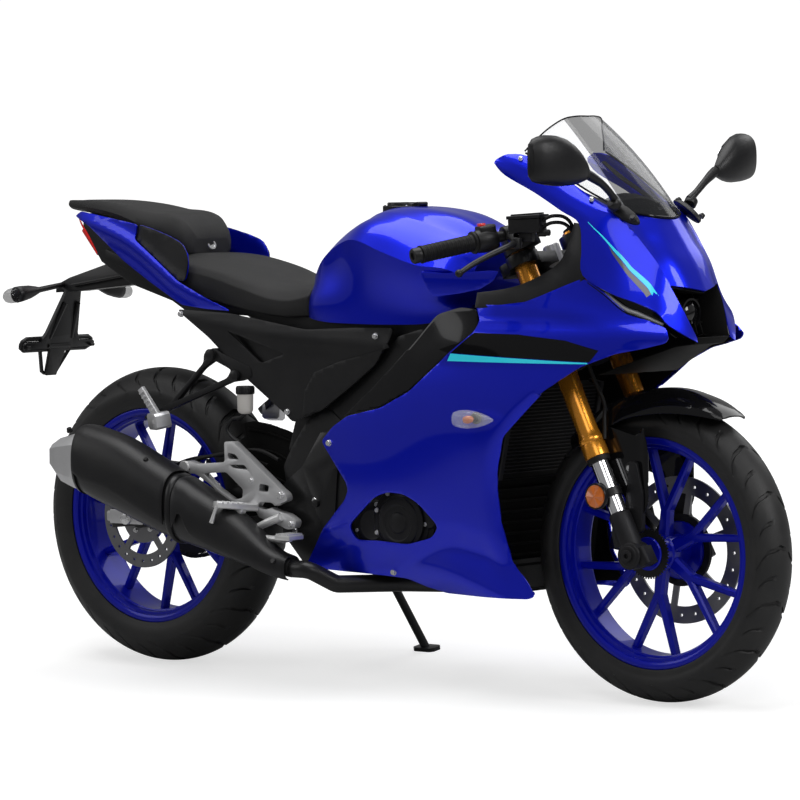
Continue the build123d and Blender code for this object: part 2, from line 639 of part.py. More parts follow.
CAP_SEAT = CAP_Z + 2       # top of the filler ring
RING_R = CAP_R + 8
KNUCKLE_GAP = 0.3
KNUCKLE_R = 4
HINGE_PIN_R = 2
HINGE_Z = CAP_SEAT + FIT_GAP + KNUCKLE_R
LID_KNUCKLE_HALF = 10
TANK_PAD_X = (870, 892)
with BuildPart() as fuel_tank:
    tank_body(0)
    with BuildSketch(Plane.XY.offset(CAP_Z - 30)) as ring:
        with Locations((CAP_X, 0)):
            Circle(RING_R)
    extrude(ring.sketch, amount=CAP_SEAT - CAP_Z + 30)
    # hinge knuckles either side of the lid's, and their pin
    for near, far in ((LID_KNUCKLE_HALF + KNUCKLE_GAP, 16), (-16, -LID_KNUCKLE_HALF - KNUCKLE_GAP)):
        barrel(HINGE_X, HINGE_Z, KNUCKLE_R, near, far)
        slab(((HINGE_X - 4, CAP_Z - 12), (HINGE_X + 4, CAP_Z - 12), (HINGE_X + 4, HINGE_Z),
              (HINGE_X - 4, HINGE_Z)), near, far)
    barrel(HINGE_X, HINGE_Z, HINGE_PIN_R, -16, 16)
    # rubber pads on the spars
    for near, far in ((88, 104), (-104, -88)):
        slab(((TANK_PAD_X[0], spar_over(TANK_PAD_X[0]) + FIT_GAP),
              (TANK_PAD_X[1], spar_over(TANK_PAD_X[1]) + FIT_GAP), (TANK_PAD_X[1], 770),
              (TANK_PAD_X[0], 765)), near, far)
    with BuildSketch(Plane.XY.offset(CAP_SEAT - FILLER_DEPTH)) as neck:
        with Locations((CAP_X, 0)):
            Circle(FILLER_R)
    extrude(neck.sketch, amount=FILLER_DEPTH + 1, mode=Mode.SUBTRACT)
keep(fuel_tank, "fuel_tank")

with BuildPart() as fuel_cap:
    with BuildSketch(Plane.XY.offset(CAP_SEAT + FIT_GAP)):
        with Locations((CAP_X, 0)):
            Circle(CAP_R)
        with Locations(((CAP_X + HINGE_X) / 2, 0)):
            Rectangle(HINGE_X - CAP_X, 2 * LID_KNUCKLE_HALF)
    extrude(amount=CAP_T)
    barrel(HINGE_X, HINGE_Z, KNUCKLE_R, -LID_KNUCKLE_HALF, LID_KNUCKLE_HALF)
    barrel(HINGE_X, HINGE_Z, HINGE_PIN_R + AXLE_PLAY, -20, 20, Mode.SUBTRACT)
keep(fuel_cap, "fuel_cap")

# ---- seats ----
SEAT = (                   # x; low z, half; middle z, half; top edge z, half; crown z
    (40, 846, 60, 856, 64, 862, 60, 866),
    (125, 806, 110, 846, 112, 864, 92, 870),
    (225, 780, 118, 845, 122, 866, 98, 871),
    (330, 758, 124, 822, 126, 846, 96, 850),
    (400, 748, 124, 792, 124, 812, 84, 817),
    (450, 744, 118, 782, 122, 808, 84, 814),
    (508, 745, 113, 790, 118, 812, 84, 816),
)
with BuildPart() as rider_seat:
    sections([(x, ((-low_y, low), (low_y, low), (mid_y, mid), (top_y, top), (0, crown),
                   (-top_y, top), (-mid_y, mid)))
              for x, low, low_y, mid, mid_y, top, top_y, crown in SEAT])
    tank_body(1, Mode.SUBTRACT)
    for near, far in ((74, 88), (-88, -74)):
        slab(((142, rail_over(142) + FIT_GAP), (164, rail_over(164) + FIT_GAP), (164, 815),
              (142, 820)), near, far)
keep(rider_seat, "rider_seat")

PILLION = (                # x; low z, half; middle z, half; crown z
    (-250, 962, 28, 974, 32, 980),
    (-150, 952, 62, 968, 74, 983),
    (0, 915, 92, 938, 100, 966),
    (120, 880, 88, 915, 92, 950),
    (160, 876, 80, 900, 82, 940),
    (186, 875, 56, 888, 58, 902),
)
with BuildPart() as pillion_seat:
    sections([(x, ((-low_y, low), (low_y, low), (mid_y, mid), (0, crown), (-mid_y, mid)))
              for x, low, low_y, mid, mid_y, crown in PILLION])
keep(pillion_seat, "pillion_seat")

# ---- tail ----
TAIL_SIDE = ((-200, ((66, 735), (66, 975))), (-171, ((78, 735), (78, 975))),
             (-100, ((95, 735), (95, 975))), (0, ((112, 735), (112, 975))),
             (160, ((134, 735), (134, 975))), (320, ((138, 735), (138, 975))))
TAIL_OUTLINE = ((-190, 950), (-171, 961), (23, 934), (78, 923), (165, 896), (184, 857),
                (176, 818), (313, 757), (170, 767), (-24, 858), (-92, 899), (-134, 930))
with BuildPart() as tail_panels:
    right_skin(TAIL_SIDE)
    slab(TAIL_OUTLINE, 40, 160, Mode.INTERSECT)
    mirror(about=Plane.XZ)
keep(tail_panels, "tail_panels")

UNDERSIDE = ((-195, 50, 925, 956.2), (-130, 62, 852, 946.7), (-36, RAIL_Y[0] - FIT_GAP, 806, 880),
             (90, RAIL_Y[0] - FIT_GAP, 770, 800))
with BuildPart() as tail_underside:
    sections([(x, ((-half, low), (half, low), (half, high), (-half, high)))
              for x, half, low, high in UNDERSIDE])
keep(tail_underside, "tail_underside")

with BuildPart() as tail_lamp:
    slab(((-195.1, 924.7), (-144.1, 867.4), (-152.7, 859.6), (-203.7, 917.1)), -46, 46)
keep(tail_lamp, "tail_lamp")

PLATE_BOLT_Y = 35
PLATE_BOLT_R = 3
PLATE_BOLT_UP = 6
PLATE_TILT = 21.5          # carrier's back face, up from the vertical
PLATE_T = 8
PLATE_FACE = Plane(origin=(-320, 0, 686), x_dir=(0, -1, 0),
                   z_dir=(-cos(radians(PLATE_TILT)), 0, sin(radians(PLATE_TILT))))
with BuildPart() as plate_bracket:
    slab(((-131.5, 852.4), (-264, 816), (-303, 800), (-306, 783), (-250, 786), (-38, 806.6)),
         -22, 22)
    with BuildSketch(PLATE_FACE.offset(-PLATE_T)) as carrier:
        outline(((-22, 112), (22, 112), (48, 12), (60, -8), (60, -22), (24, -26), (16, -88),
                 (-16, -88), (-24, -26), (-60, -22), (-60, -8), (-48, 12)))
    extrude(carrier.sketch, amount=PLATE_T)
    with BuildSketch(PLATE_FACE.offset(-PLATE_T)) as bar:
        with Locations((0, -16)):
            SlotOverall(218, 15)
    extrude(bar.sketch, amount=PLATE_T)
    with BuildSketch(PLATE_FACE.offset(-PLATE_T)) as bolts:
        with Locations((-PLATE_BOLT_Y, PLATE_BOLT_UP), (PLATE_BOLT_Y, PLATE_BOLT_UP)):
            Circle(PLATE_BOLT_R)
    extrude(bolts.sketch, amount=PLATE_T, mode=Mode.SUBTRACT)
keep(plate_bracket, "plate_bracket")

with BuildPart() as rear_indicators:
    for side in (-1, 1):
        rod((-284, side * (22 + FIT_GAP), 794), (-284, side * 150, 794), 7)
        rod((-288, side * 140, 788), (-289, side * 197, 779), 17)
keep(rear_indicators, "rear_indicators")

# ---- body sides ----
COVER_OUTLINE = ((156, 758), (304, 752), (514, 722), (745, 729), (700, 655), (560, 560),
                 (477, 530), (351, 616), (246, 698))
COVER_Y = 132
with BuildPart() as side_covers:
    slab(COVER_OUTLINE, COVER_Y, COVER_Y + SKIN_T)
    for x, z in ((300, 700), (430, 650)):
        barrel(x, z, 6, RAIL_Y[1] + FIT_GAP, COVER_Y + 1)
    mirror(about=Plane.XZ)
keep(side_covers, "side_covers")

SIDE_SKIN = (              # x, then half width and z from the keel up
    (540, ((135, 190), (142, 300), (150, 400), (152, 480), (152, 530), (150, 570))),
    (700, ((112, 190), (148, 260), (172, 380), (178, 500), (176, 580), (165, 660))),
    (860, ((118, 190), (158, 260), (182, 380), (192, 500), (192, 620), (178, 730))),
    (1010, ((150, 190), (168, 260), (186, 380), (205, 540), (195, 700), (172, 805))),
    (1130, ((160, 190), (172, 280), (186, 400), (205, 560), (192, 700), (166, 825))),
    (1255, ((168, 190), (178, 300), (186, 420), (190, 560), (178, 700), (146, 852))),
)
SIDE_OUTLINE = ((539, 238), (604, 505), (661, 553), (767, 567), (949, 679), (1018, 738),
                (1018, 786), (1113, 790), (1245, 842), (1250, 842), (1250, 638), (1183, 607),
                (1072, 509), (1054, 424), (1053, 340), (1139, 208), (840, 203), (720, 221))
ENGINE_WINDOW = ((739, 394), (760, 408), (817, 405), (892, 336), (840, 300), (745, 303))
with BuildPart() as fairing_right:
    right_skin(SIDE_SKIN)
    slab(SIDE_OUTLINE, 60, 240, Mode.INTERSECT)
    slab(ENGINE_WINDOW, 60, 240, Mode.SUBTRACT)
keep(fairing_right, "fairing_right")
with BuildPart() as fairing_left:
    add(fairing_right.part)
    mirror(about=Plane.XZ, mode=Mode.REPLACE)
keep(fairing_left, "fairing_left")

with BuildPart() as belly_pan:
    with BuildSketch(Plane.XY.offset(206)):
        outline(((915, -132.6), (1030, -151), (1030, 151), (915, 132.6)))
    extrude(amount=SKIN_T)
    slab(((1004, 208), (1010, 208), (992, 268), (986, 268)), -136, 136)
keep(belly_pan, "belly_pan")

# ---- nose ----
NOSE = (                   # x, then half width and z from the top edge down the side
    (1253, ((120, 955), (138, 942), (150, 900), (155, 845), (165, 760), (172, 690), (170, 642))),
    (1310, ((62, 966), (104, 957), (128, 925), (140, 850), (150, 765), (150, 700), (134, 678))),
    (1345, ((0, 944), (60, 935), (100, 905), (122, 840), (130, 760), (126, 710), (120, 690))),
    (1405, ((0, 842), (45, 838), (76, 822), (88, 800), (96, 750), (92, 722), (84, 708))),
    (1450, ((0, 770), (20, 766), (40, 756), (50, 744), (54, 730), (50, 718), (42, 712))),
)
SLIT = ((1264, 811), (1408, 768), (1424, 745), (1330, 768), (1290, 788))
LAMP_Z = 762


def inward(wall, distance):
    """Points of a wall, listed from the top down, moved square to it to the inside."""
    moved = []
    for index, (y, z) in enumerate(wall):
        before = Vector(*wall[max(index - 1, 0)])
        after = Vector(*wall[min(index + 1, len(wall) - 1)])
        run = (after - before).normalized()
        on_centre = index == 0 and y == 0
        moved.append((0 if on_centre else y + run.Y * distance, z - run.X * distance))
    return moved


def nose_wall(inset):
    """Right half of the nose shell, drawn in by inset."""
    rows = []
    for x, wall in NOSE:
        outer = inward(wall, inset)
        inner = inward(wall, inset + SKIN_T)
        rows.append((x, [(-y, z) for y, z in outer + inner[::-1]]))
    sections(rows)


with BuildPart() as nose_cowl:
    nose_wall(0)
    mirror(about=Plane.XZ)
    with BuildSketch(Plane.YZ.offset(1360)):
        outline(((-70, 816), (-26, 800), (26, 800), (70, 816), (50, 719), (-50, 719)))
    extrude(amount=120, mode=Mode.SUBTRACT)
    for near, far in ((60, 200), (-200, -60)):
        slab(SLIT, near, far, Mode.SUBTRACT)
    for near, far in ((118, 124), (-124, -118)):
        slab(((1290, 950), (1300, 972), (1240, 1020), (1082, 1084), (1010, 1064),
              (1052, 1038), (1180, 985), (1256, 944)), near, far)
keep(nose_cowl, "nose_cowl")

with BuildPart() as headlamp:
    slab(((LAMP_BACK, 790), (1282, 726), (1366, 722), (1366, 800), (1300, 806)), -58, 58)
    rod((1366, 0, LAMP_Z), (1398, 0, LAMP_Z), 27)
keep(headlamp, "headlamp")

with BuildPart() as windscreen:
    for z, edge in ((940, ((1350, 0), (1340, 40), (1313, 80), (1268, 112))),
                    (969, ((1322, 0), (1312, 40), (1285, 78), (1240, 105))),
                    (1060, ((1232, 0), (1222, 45), (1190, 82), (1150, 98))),
                    (1148, ((1142, 0), (1134, 30), (1118, 52), (1112, 58)))):
        outer = list(edge) + [(x - 4, y - 2) for x, y in reversed(edge) if y] + [(edge[0][0] - 4, 0)]
        with BuildSketch(Plane.XY.offset(z)):
            outline(outer)
    loft(ruled=True)
    # sits on the cowl's rim
    rows = []
    for x, wall in NOSE[:4]:
        skin = [(max(y, 1), z) for y, z in inward(wall, -FIT_GAP)]
        rows.append((x, [(0, skin[0][1])] + skin + [(0, skin[-1][1])]))
    sections(rows, Mode.SUBTRACT)
    mirror(about=Plane.XZ)
keep(windscreen, "windscreen")

with BuildPart() as cockpit_panels:
    right_skin(((1018, ((176, 786.3), (162, 800))), (1113, ((173.6, 790.3), (152, 835))),
                (1180, ((162.2, 816.8), (143, 880))), (1252.7, ((148.5, 845.5), (138, 940)))))
    mirror(about=Plane.XZ)
keep(cockpit_panels, "cockpit_panels")

with BuildPart() as gauge:
    slab(((1240, 928 + FIT_GAP), (1276, 928 + FIT_GAP), (1262, 990), (1222, 986)), -70, 70)
keep(gauge, "gauge")

with BuildPart() as mirrors:
    for side in (-1, 1):
        points = ((1290, side * 102, 975), (1302, side * 108, 994), (1306, side * 170, 1020),
                  (1286, side * 262, 1056))
        rod((1290, side * 102, 961), points[0], 12)
        for start, end in zip(points, points[1:]):
            rod(start, end, 8)
        with BuildSketch(Plane.YZ.offset(1262)):
            with Locations((side * 298, 1068)):
                Ellipse(72, 32)
        extrude(amount=38)
keep(mirrors, "mirrors")

with BuildPart() as front_indicators:
    for side in (-1, 1):
        rod((1030, side * 205, 561), (1030, side * 220, 561), 9)
        rod((994, side * 230, 561), (1064, side * 230, 561), 17)
keep(front_indicators, "front_indicators")

# ---- exhaust ----
MUFFLER_Y = 198
MUFFLER = (                # x, low z, high z, half width
    (-133, 402, 478, 30), (-85, 380, 506, 46), (-8, 352, 505, 50), (187, 288, 432, 50),
    (307, 262, 376, 46), (397, 238, 330, 36), (482, 222, 268, 26), (528, 218, 256, 20),
)
with BuildPart() as muffler:
    sections([(x, ((half * 0.5 - MUFFLER_Y, low), (half - MUFFLER_Y, low + (high - low) * 0.3),
                   (half - MUFFLER_Y, low + (high - low) * 0.7), (half * 0.5 - MUFFLER_Y, high),
                   (-half * 0.5 - MUFFLER_Y, high), (-half - MUFFLER_Y, low + (high - low) * 0.7),
                   (-half - MUFFLER_Y, low + (high - low) * 0.3), (-half * 0.5 - MUFFLER_Y, low)))
              for x, low, high, half in MUFFLER])
    barrel(196, 414, 9, BRACKET_Y[1] + FIT_GAP, MUFFLER_Y - 30)
keep(muffler, "muffler")

PIPE_R = 18
PIPE = ((903, 0, 600), (945, 0, 588.2), (955, 0, 480), (925, 0, 270), (850, 0, 208),
        (700, -50, 206), (612, -160, 207), (572, -198, 237), (528 + FIT_GAP, -198, 237))
with BuildPart() as exhaust_pipe:
    with BuildLine() as route:
        FilletPolyline(*PIPE, radius=(22, 60, 60, 60, 60, 30, 30))
    with BuildSketch(Plane(origin=route.line @ 0, z_dir=route.line % 0)):
        Circle(PIPE_R)
    sweep()
keep(exhaust_pipe, "exhaust_pipe")

# ---- feet ----
BRACKET = ((308, 485), (326, 478), (400, 420), (461, 398), (486, 380), (476, 350), (496, 322),
           (484, 303), (440, 322), (384, 340), (350, 340), (290, 382), (196, 398), (184, 414),
           (196, 432), (306, 440))
with BuildPart() as footrest_brackets:
    slab(BRACKET, *BRACKET_Y)
    slab(((330, 400), (290, 420), (320, 426), (360, 410), (390, 370), (350, 372)),
         BRACKET_Y[0] - 1, BRACKET_Y[1] + 1, Mode.SUBTRACT)
    rod((376, -BRACKET_Y[1] + 1, 353), (372, -256, 362), 10)
    mirror(about=Plane.XZ)
keep(footrest_brackets, "footrest_brackets")

with BuildPart() as foot_levers:
    # pedal arm on the right, shift arm on the left: start, middle, pad
    for side in (-1, 1):
        start, bend, pad = [(x, side * y, z) for x, y, z in
                            ((452, 150, 344), (470, 158, 300), (528, 184, 296))]
        rod((452, side * (BRACKET_Y[1] + FIT_GAP), 344), start, 9)
        rod(start, bend, 6)
        rod(bend, pad, 6)
        rod((pad[0], side * 172, pad[2]), (pad[0], side * 214, pad[2]), 8)
keep(foot_levers, "foot_levers")

with BuildPart() as passenger_pegs:
    for side in (-1, 1):
        for x, z in ((255, 665), (322, 618)):
            rod((x, side * (RAIL_Y[1] + FIT_GAP), z), (x, side * 122, z), 9)
            rod((x, side * 116, z), (150, side * 172, 532), 9)
        rod((150, side * 165, 532), (150, side * 192, 532), 14)
        rod((150, side * 186, 532), (130, side * 192, 612), 9)
keep(passenger_pegs, "passenger_pegs")

with BuildPart() as rear_reservoir:
    rod((352, -142, 545), (352, -142, 598), 17)
    barrel(352, 588, 4, 96, 130)
    slab(((348, 584), (356, 584), (356, 622), (348, 622)), RAIL_Y[1] + FIT_GAP, 99)
keep(rear_reservoir, "rear_reservoir")

# ---- side stand ----
GROUND_TILT = tan(radians(LEAN))
ground_drop = -LIFT / cos(radians(LEAN))
leg_unit = stand_point(0, 1) - stand_point(0)
STAND_LENGTH = ((STAND_PIVOT[2] - GROUND_TILT * STAND_PIVOT[1] - ground_drop)
                / (GROUND_TILT * leg_unit.Y - leg_unit.Z))
with BuildPart() as side_stand:
    rod(stand_point(-8), stand_point(8), 16)
    rod(stand_point(0, 4), stand_point(0, STAND_LENGTH - 6), STAND_R)
    foot = stand_point(0, STAND_LENGTH)
    with BuildSketch(Plane(origin=foot, x_dir=(1, 0, 0),
                           z_dir=(0, -sin(radians(LEAN)), cos(radians(LEAN))))):
        RectangleRounded(56, 36, 12)
    extrude(amount=8)
    rod(stand_point(-14), stand_point(14), STAND_PIN_R + AXLE_PLAY, Mode.SUBTRACT)
keep(side_stand, "side_stand")
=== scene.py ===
"""A faired sport motorcycle parked on its side stand, dressed for rendering."""
from collections import namedtuple
from math import asin, atan2, cos, pi, radians, sin

import bmesh
import bpy
from mathutils import Matrix, Vector


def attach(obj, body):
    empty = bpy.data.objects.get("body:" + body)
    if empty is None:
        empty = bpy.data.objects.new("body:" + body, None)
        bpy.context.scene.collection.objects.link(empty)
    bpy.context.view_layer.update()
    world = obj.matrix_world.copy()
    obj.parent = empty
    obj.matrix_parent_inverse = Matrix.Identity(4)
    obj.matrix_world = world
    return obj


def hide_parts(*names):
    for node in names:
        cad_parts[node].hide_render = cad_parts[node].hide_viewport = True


bl_info = {
    "name": "Faired sport motorcycle",
    "version": (1, 0, 0),
    "blender": (4, 5, 0),
    "location": "View3D > Sidebar > Motorcycle",
    "description": "Dresses the packed motorcycle with its panels, wheels, lamps and finishes",
    "category": "Object",
}

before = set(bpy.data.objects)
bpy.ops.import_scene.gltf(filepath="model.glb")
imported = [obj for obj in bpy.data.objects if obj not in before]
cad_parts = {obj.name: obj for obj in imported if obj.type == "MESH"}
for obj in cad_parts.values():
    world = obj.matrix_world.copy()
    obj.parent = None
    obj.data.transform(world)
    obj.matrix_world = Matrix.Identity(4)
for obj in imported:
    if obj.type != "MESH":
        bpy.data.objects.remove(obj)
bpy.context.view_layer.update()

# ---- the machine's own frame: millimetres, upright, x forward from the rear axle, ----
# ---- y to the rider's left, z up; STANCE leans it onto its side stand in metres    ----
WHEELBASE = 1325
CASTER = radians(25.5)
LEAN = radians(9)
LIFT = 0.92
STANCE = (Matrix.Translation((-WHEELBASE / 2000, 0, LIFT / 1000)) @ Matrix.Rotation(-LEAN, 4, "X")
    @ Matrix.Scale(0.001, 4))
FORK_DIR = Vector((-sin(CASTER), 0, cos(CASTER)))
FORK_FORE = Vector((cos(CASTER), 0, sin(CASTER)))
FORK_Y = 95
FRONT_R, REAR_R = 295.9, 313.9
FRONT_AXLE = Vector((WHEELBASE, 0, FRONT_R))
REAR_AXLE = Vector((0, 0, REAR_R))
RIGHT, LEFT = -1, 1


# ---- drawing helpers ----
def eased(pairs, at):
    """Value at a place on a smooth curve through (place, value) pairs."""
    pairs = sorted(pairs)
    last = len(pairs) - 1
    slopes = []
    for i in range(last + 1):
        a, b = pairs[max(i - 1, 0)], pairs[min(i + 1, last)]
        slopes.append((b[1] - a[1]) / (b[0] - a[0]))
    if at <= pairs[0][0]:
        return pairs[0][1] + (at - pairs[0][0]) * slopes[0]
    if at >= pairs[last][0]:
        return pairs[last][1] + (at - pairs[last][0]) * slopes[last]
    for i in range(last):
        (p, v), (q, w) = pairs[i], pairs[i + 1]
        if at <= q:
            t = (at - p) / (q - p)
            run = q - p
            return ((2 * t ** 3 - 3 * t ** 2 + 1) * v + (t ** 3 - 2 * t ** 2 + t) * run * slopes[i]
                + (3 * t ** 2 - 2 * t ** 3) * w + (t ** 3 - t ** 2) * run * slopes[i + 1])


def share(value):
    """The value, kept from 0 to 1."""
    return min(1, max(0, value))


def bulge(value, power):
    """A signed power, for sections between a round and a square one."""
    return abs(value) ** power * (1 if value > 0 else -1)


def turns(count, start=0.0):
    """The angles of equal steps round one turn."""
    return [2 * pi * k / count + start for k in range(count)]


def skin_through(rows):
    """Half width y of a panel at (x, z), from rows of (x, ((half width, z), ...))."""
    def skin(x, z):
        return eased([(station, eased([(h, w) for w, h in wall], z)) for station, wall in rows], x)
    return skin


def smooth_run(points, steps, closed=False):
    """Points on a smooth curve through the given ones, steps to each span."""
    points = [Vector(p) for p in points]
    count = len(points)
    spans = count if closed else count - 1
    run = []
    for i in range(spans):
        if closed:
            a, b, c, d = (points[(i + k) % count] for k in (-1, 0, 1, 2))
        else:
            a, b, c, d = (points[min(max(i + k, 0), count - 1)] for k in (-1, 0, 1, 2))
        for k in range(steps):
            t = k / steps
            run.append(0.5 * ((2 * b) + (c - a) * t + (2 * a - 5 * b + 4 * c - d) * t * t
                    + (3 * b - a - 3 * c + d) * t ** 3))
    if not closed:
        run.append(points[-1])
    return run


def rounded(outline, radius, steps=3):
    """A closed outline with its corners rounded."""
    outline = [Vector(p) for p in outline]
    run = []
    for i, corner in enumerate(outline):
        before, after = outline[i - 1] - corner, outline[(i + 1) % len(outline)] - corner
        reach = min(radius, before.length * 0.45, after.length * 0.45)
        a, b = corner + before.normalized() * reach, corner + after.normalized() * reach
        for k in range(steps + 1):
            t = k / steps
            run.append((1 - t) ** 2 * a + 2 * t * (1 - t) * corner + t * t * b)
    return run


def bridge(bm, rings, closed=True, caps=True):
    """Faces between rings that have the same number of points."""
    loops = [[bm.verts.new(p) for p in ring] for ring in rings]
    count = len(loops[0])
    for a, b in zip(loops, loops[1:]):
        for i in range(count if closed else count - 1):
            j = (i + 1) % count
            bm.faces.new((a[i], a[j], b[j], b[i]))
    if caps and closed:
        bm.faces.new(loops[0][::-1])
        bm.faces.new(loops[-1])
    return loops


def panel(bm, outline, skin, lift=0, cell=9):
    """An outline (x, z) filled, cut into cells and laid on the skin right of centre."""
    fresh = bmesh.new()
    fresh.faces.new([fresh.verts.new((p[0], 0, p[1])) for p in outline])
    for axis in (0, 2):
        places = [v.co[axis] for v in fresh.verts]
        low, high = min(places), max(places)
        cuts = int((high - low) / cell)
        for k in range(1, cuts + 1):
            point = Vector()
            point[axis] = low + k * (high - low) / (cuts + 1)
            normal = Vector()
            normal[axis] = 1
            bmesh.ops.bisect_plane(fresh, geom=fresh.verts[:] + fresh.edges[:] + fresh.faces[:], dist=1e-4,
                plane_co=point, plane_no=normal)
    for vert in fresh.verts:
        vert.co.y = -skin(vert.co.x, vert.co.z) - lift
    bmesh.ops.recalc_face_normals(fresh, faces=fresh.faces)
    if sum(f.normal.y * f.calc_area() for f in fresh.faces) > 0:
        bmesh.ops.reverse_faces(fresh, faces=fresh.faces)
    join(bm, fresh)


def join(bm, other):
    """Add another mesh to this one, and free it."""
    mesh = bpy.data.meshes.new("spare")
    other.to_mesh(mesh)
    other.free()
    bm.from_mesh(mesh)
    bpy.data.meshes.remove(mesh)


def mirrored(points):
    """The same points on the other side."""
    return [Vector((x, -y, z)) for x, y, z in points]


def mirror_all(bm):
    """Turn a right-hand mesh into the left-hand one."""
    bmesh.ops.scale(bm, vec=(1, -1, 1), verts=bm.verts)
    bmesh.ops.reverse_faces(bm, faces=bm.faces)


def both_sides(bm, weld=0):
    """Mirror everything so far to the left, and close the seam where a weld distance is given."""
    copy = bm.copy()
    mirror_all(copy)
    join(bm, copy)
    if weld:
        bmesh.ops.remove_doubles(bm, verts=bm.verts, dist=weld)
        bmesh.ops.recalc_face_normals(bm, faces=bm.faces)


def aimed(origin, direction):
    """A matrix whose z runs along direction from origin."""
    return Matrix.Translation(origin) @ Vector(direction).to_track_quat("Z", "Y").to_matrix().to_4x4()


def turned(bm, origin, direction, profile, sides=32):
    """A round piece through (distance along the axis, radius) pairs."""
    place = aimed(origin, direction)
    rings = [[place @ Vector((radius * cos(angle), radius * sin(angle), along)) for angle in turns(sides)]
        for along, radius in profile]
    bridge(bm, rings)


def tube(bm, points, radius, sides=12, steps=6):
    """A round bar along a smooth path."""
    run = smooth_run(points, steps) if steps > 1 else [Vector(p) for p in points]
    radii = radius if isinstance(radius, (list, tuple)) else (radius, radius)
    heading = (run[1] - run[0]).normalized()
    side = heading.orthogonal().normalized()
    rings = []
    for i, point in enumerate(run):
        ahead = (run[min(i + 1, len(run) - 1)] - run[max(i - 1, 0)]).normalized()
        side = (side - ahead * side.dot(ahead)).normalized()
        other = ahead.cross(side)
        t = i / (len(run) - 1) * (len(radii) - 1)
        k = min(int(t), len(radii) - 2)
        r = radii[k] + (radii[k + 1] - radii[k]) * (t - k)
        rings.append([point + (side * cos(angle) + other * sin(angle)) * r for angle in turns(sides)])
    bridge(bm, rings)


def bar(bm, start, end, wide, deep, wide_end=None, deep_end=None, flat=(0, 1, 0), corner=0.3):
    """A straight bar with chamfered edges; wide lies across, deep along flat."""
    start, end, flat = Vector(start), Vector(end), Vector(flat)
    run = (end - start).normalized()
    across = run.cross(flat).normalized()
    deep_dir = across.cross(run).normalized()
    rings = []
    for point, w, d in ((start, wide, deep), (end, wide_end or wide, deep_end or deep)):
        c = corner * min(w, d)
        rings.append([point + across * a + deep_dir * b for a, b in ((w - c, d), (c - w, d), (-w, d - c),
                (-w, c - d), (c - w, -d), (w - c, -d), (w, c - d), (w, d - c))])
    bridge(bm, rings)


def plate(bm, outline, near, far):
    """An outline (x, z) as a flat plate, from near to far right of centre."""
    bridge(bm, [[(p[0], -y, p[1]) for p in outline] for y in (near, far)])


def stand(bm, name):
    """An object in the parked stance from a drawn mesh."""
    bm.transform(STANCE)
    return placed(bm, name)


def placed(bm, name):
    """An object from a drawn mesh, which is freed."""
    mesh = bpy.data.meshes.new(name)
    bm.to_mesh(mesh)
    bm.free()
    return linked(mesh)


def linked(data):
    """An object of the scene for this mesh, lamp or camera, with its name."""
    made = bpy.data.objects.new(data.name, data)
    bpy.context.scene.collection.objects.link(made)
    return made


def soften(part, width, steepest=38):
    """Give a piece rounded edges, of a width in millimetres."""
    edge = part.modifiers.new("edges", "BEVEL")
    edge.width, edge.segments = width / 1000, 2
    edge.limit_method, edge.angle_limit = "ANGLE", radians(steepest)
    edge.use_clamp_overlap = True


def bake(part):
    """Turn a piece's modifiers into plain mesh."""
    depsgraph = bpy.context.evaluated_depsgraph_get()
    made = bpy.data.meshes.new_from_object(part.evaluated_get(depsgraph))
    part.modifiers.clear()
    old, part.data = part.data, made
    bpy.data.meshes.remove(old)


def shade(part, crisp):
    """Smooth shading with crisp edges above an angle in degrees."""
    part.data.shade_smooth()
    part.data.set_sharp_from_angle(angle=radians(crisp))


def piece(name, bm, look, replaces=(), body="chassis", slot=None, pair=False, wall=0, bevel=0, levels=0,
    crisp=32, inward=True):
    """Stand a drawn mesh in the parked stance, finish it and give it to its body."""
    if pair:
        both_sides(bm)
    if not wall:
        bmesh.ops.remove_doubles(bm, verts=bm.verts, dist=0.01)
        bmesh.ops.recalc_face_normals(bm, faces=bm.faces)
    part = stand(bm, name)
    part.data.materials.append(finish(look))
    if wall:
        shell = part.modifiers.new("wall", "SOLIDIFY")
        shell.thickness = wall / 1000
        shell.offset = -1 if inward else 1
        shell.use_even_offset = True
        shell.thickness_clamp = 1
    if bevel:
        soften(part, bevel)
    if levels:
        smooth = part.modifiers.new("smooth", "SUBSURF")
        smooth.levels = smooth.render_levels = levels
    return settle(part, replaces, body, crisp)


def panels(name, look, outline, corner, skin, replaces=(), lift=0, cell=9, **settings):
    """The same panel on both sides, as one piece."""
    bm = bmesh.new()
    panel(bm, rounded(outline, corner) if corner else outline, skin, lift, cell)
    return piece(name, bm, look, replaces, pair=True, **settings)


def settle(part, replaces, body, crisp):
    """Turn a piece into plain mesh and hand it to its body."""
    if part.modifiers:
        bake(part)
    shade(part, crisp)
    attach(part, body)
    if replaces:
        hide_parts(*replaces)
    return part


def refine(node, look, bevel, body="chassis", slot=None):
    """A CAD node's own shape with its edges eased, standing for the node."""
    bm = bmesh.new()
    bm.from_mesh(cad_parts[node].data)
    bmesh.ops.remove_doubles(bm, verts=bm.verts, dist=2e-5)
    bmesh.ops.dissolve_limit(bm, angle_limit=radians(1), verts=bm.verts, edges=bm.edges)
    bm.transform(STANCE.inverted())
    return piece(node + "_finished", bm, look, (node,), body, slot, bevel=bevel)


def dress(node, look):
    """Give a CAD node that keeps its own shape a better finish."""
    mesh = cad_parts[node].data
    mesh.materials.clear()
    mesh.materials.append(finish(look))


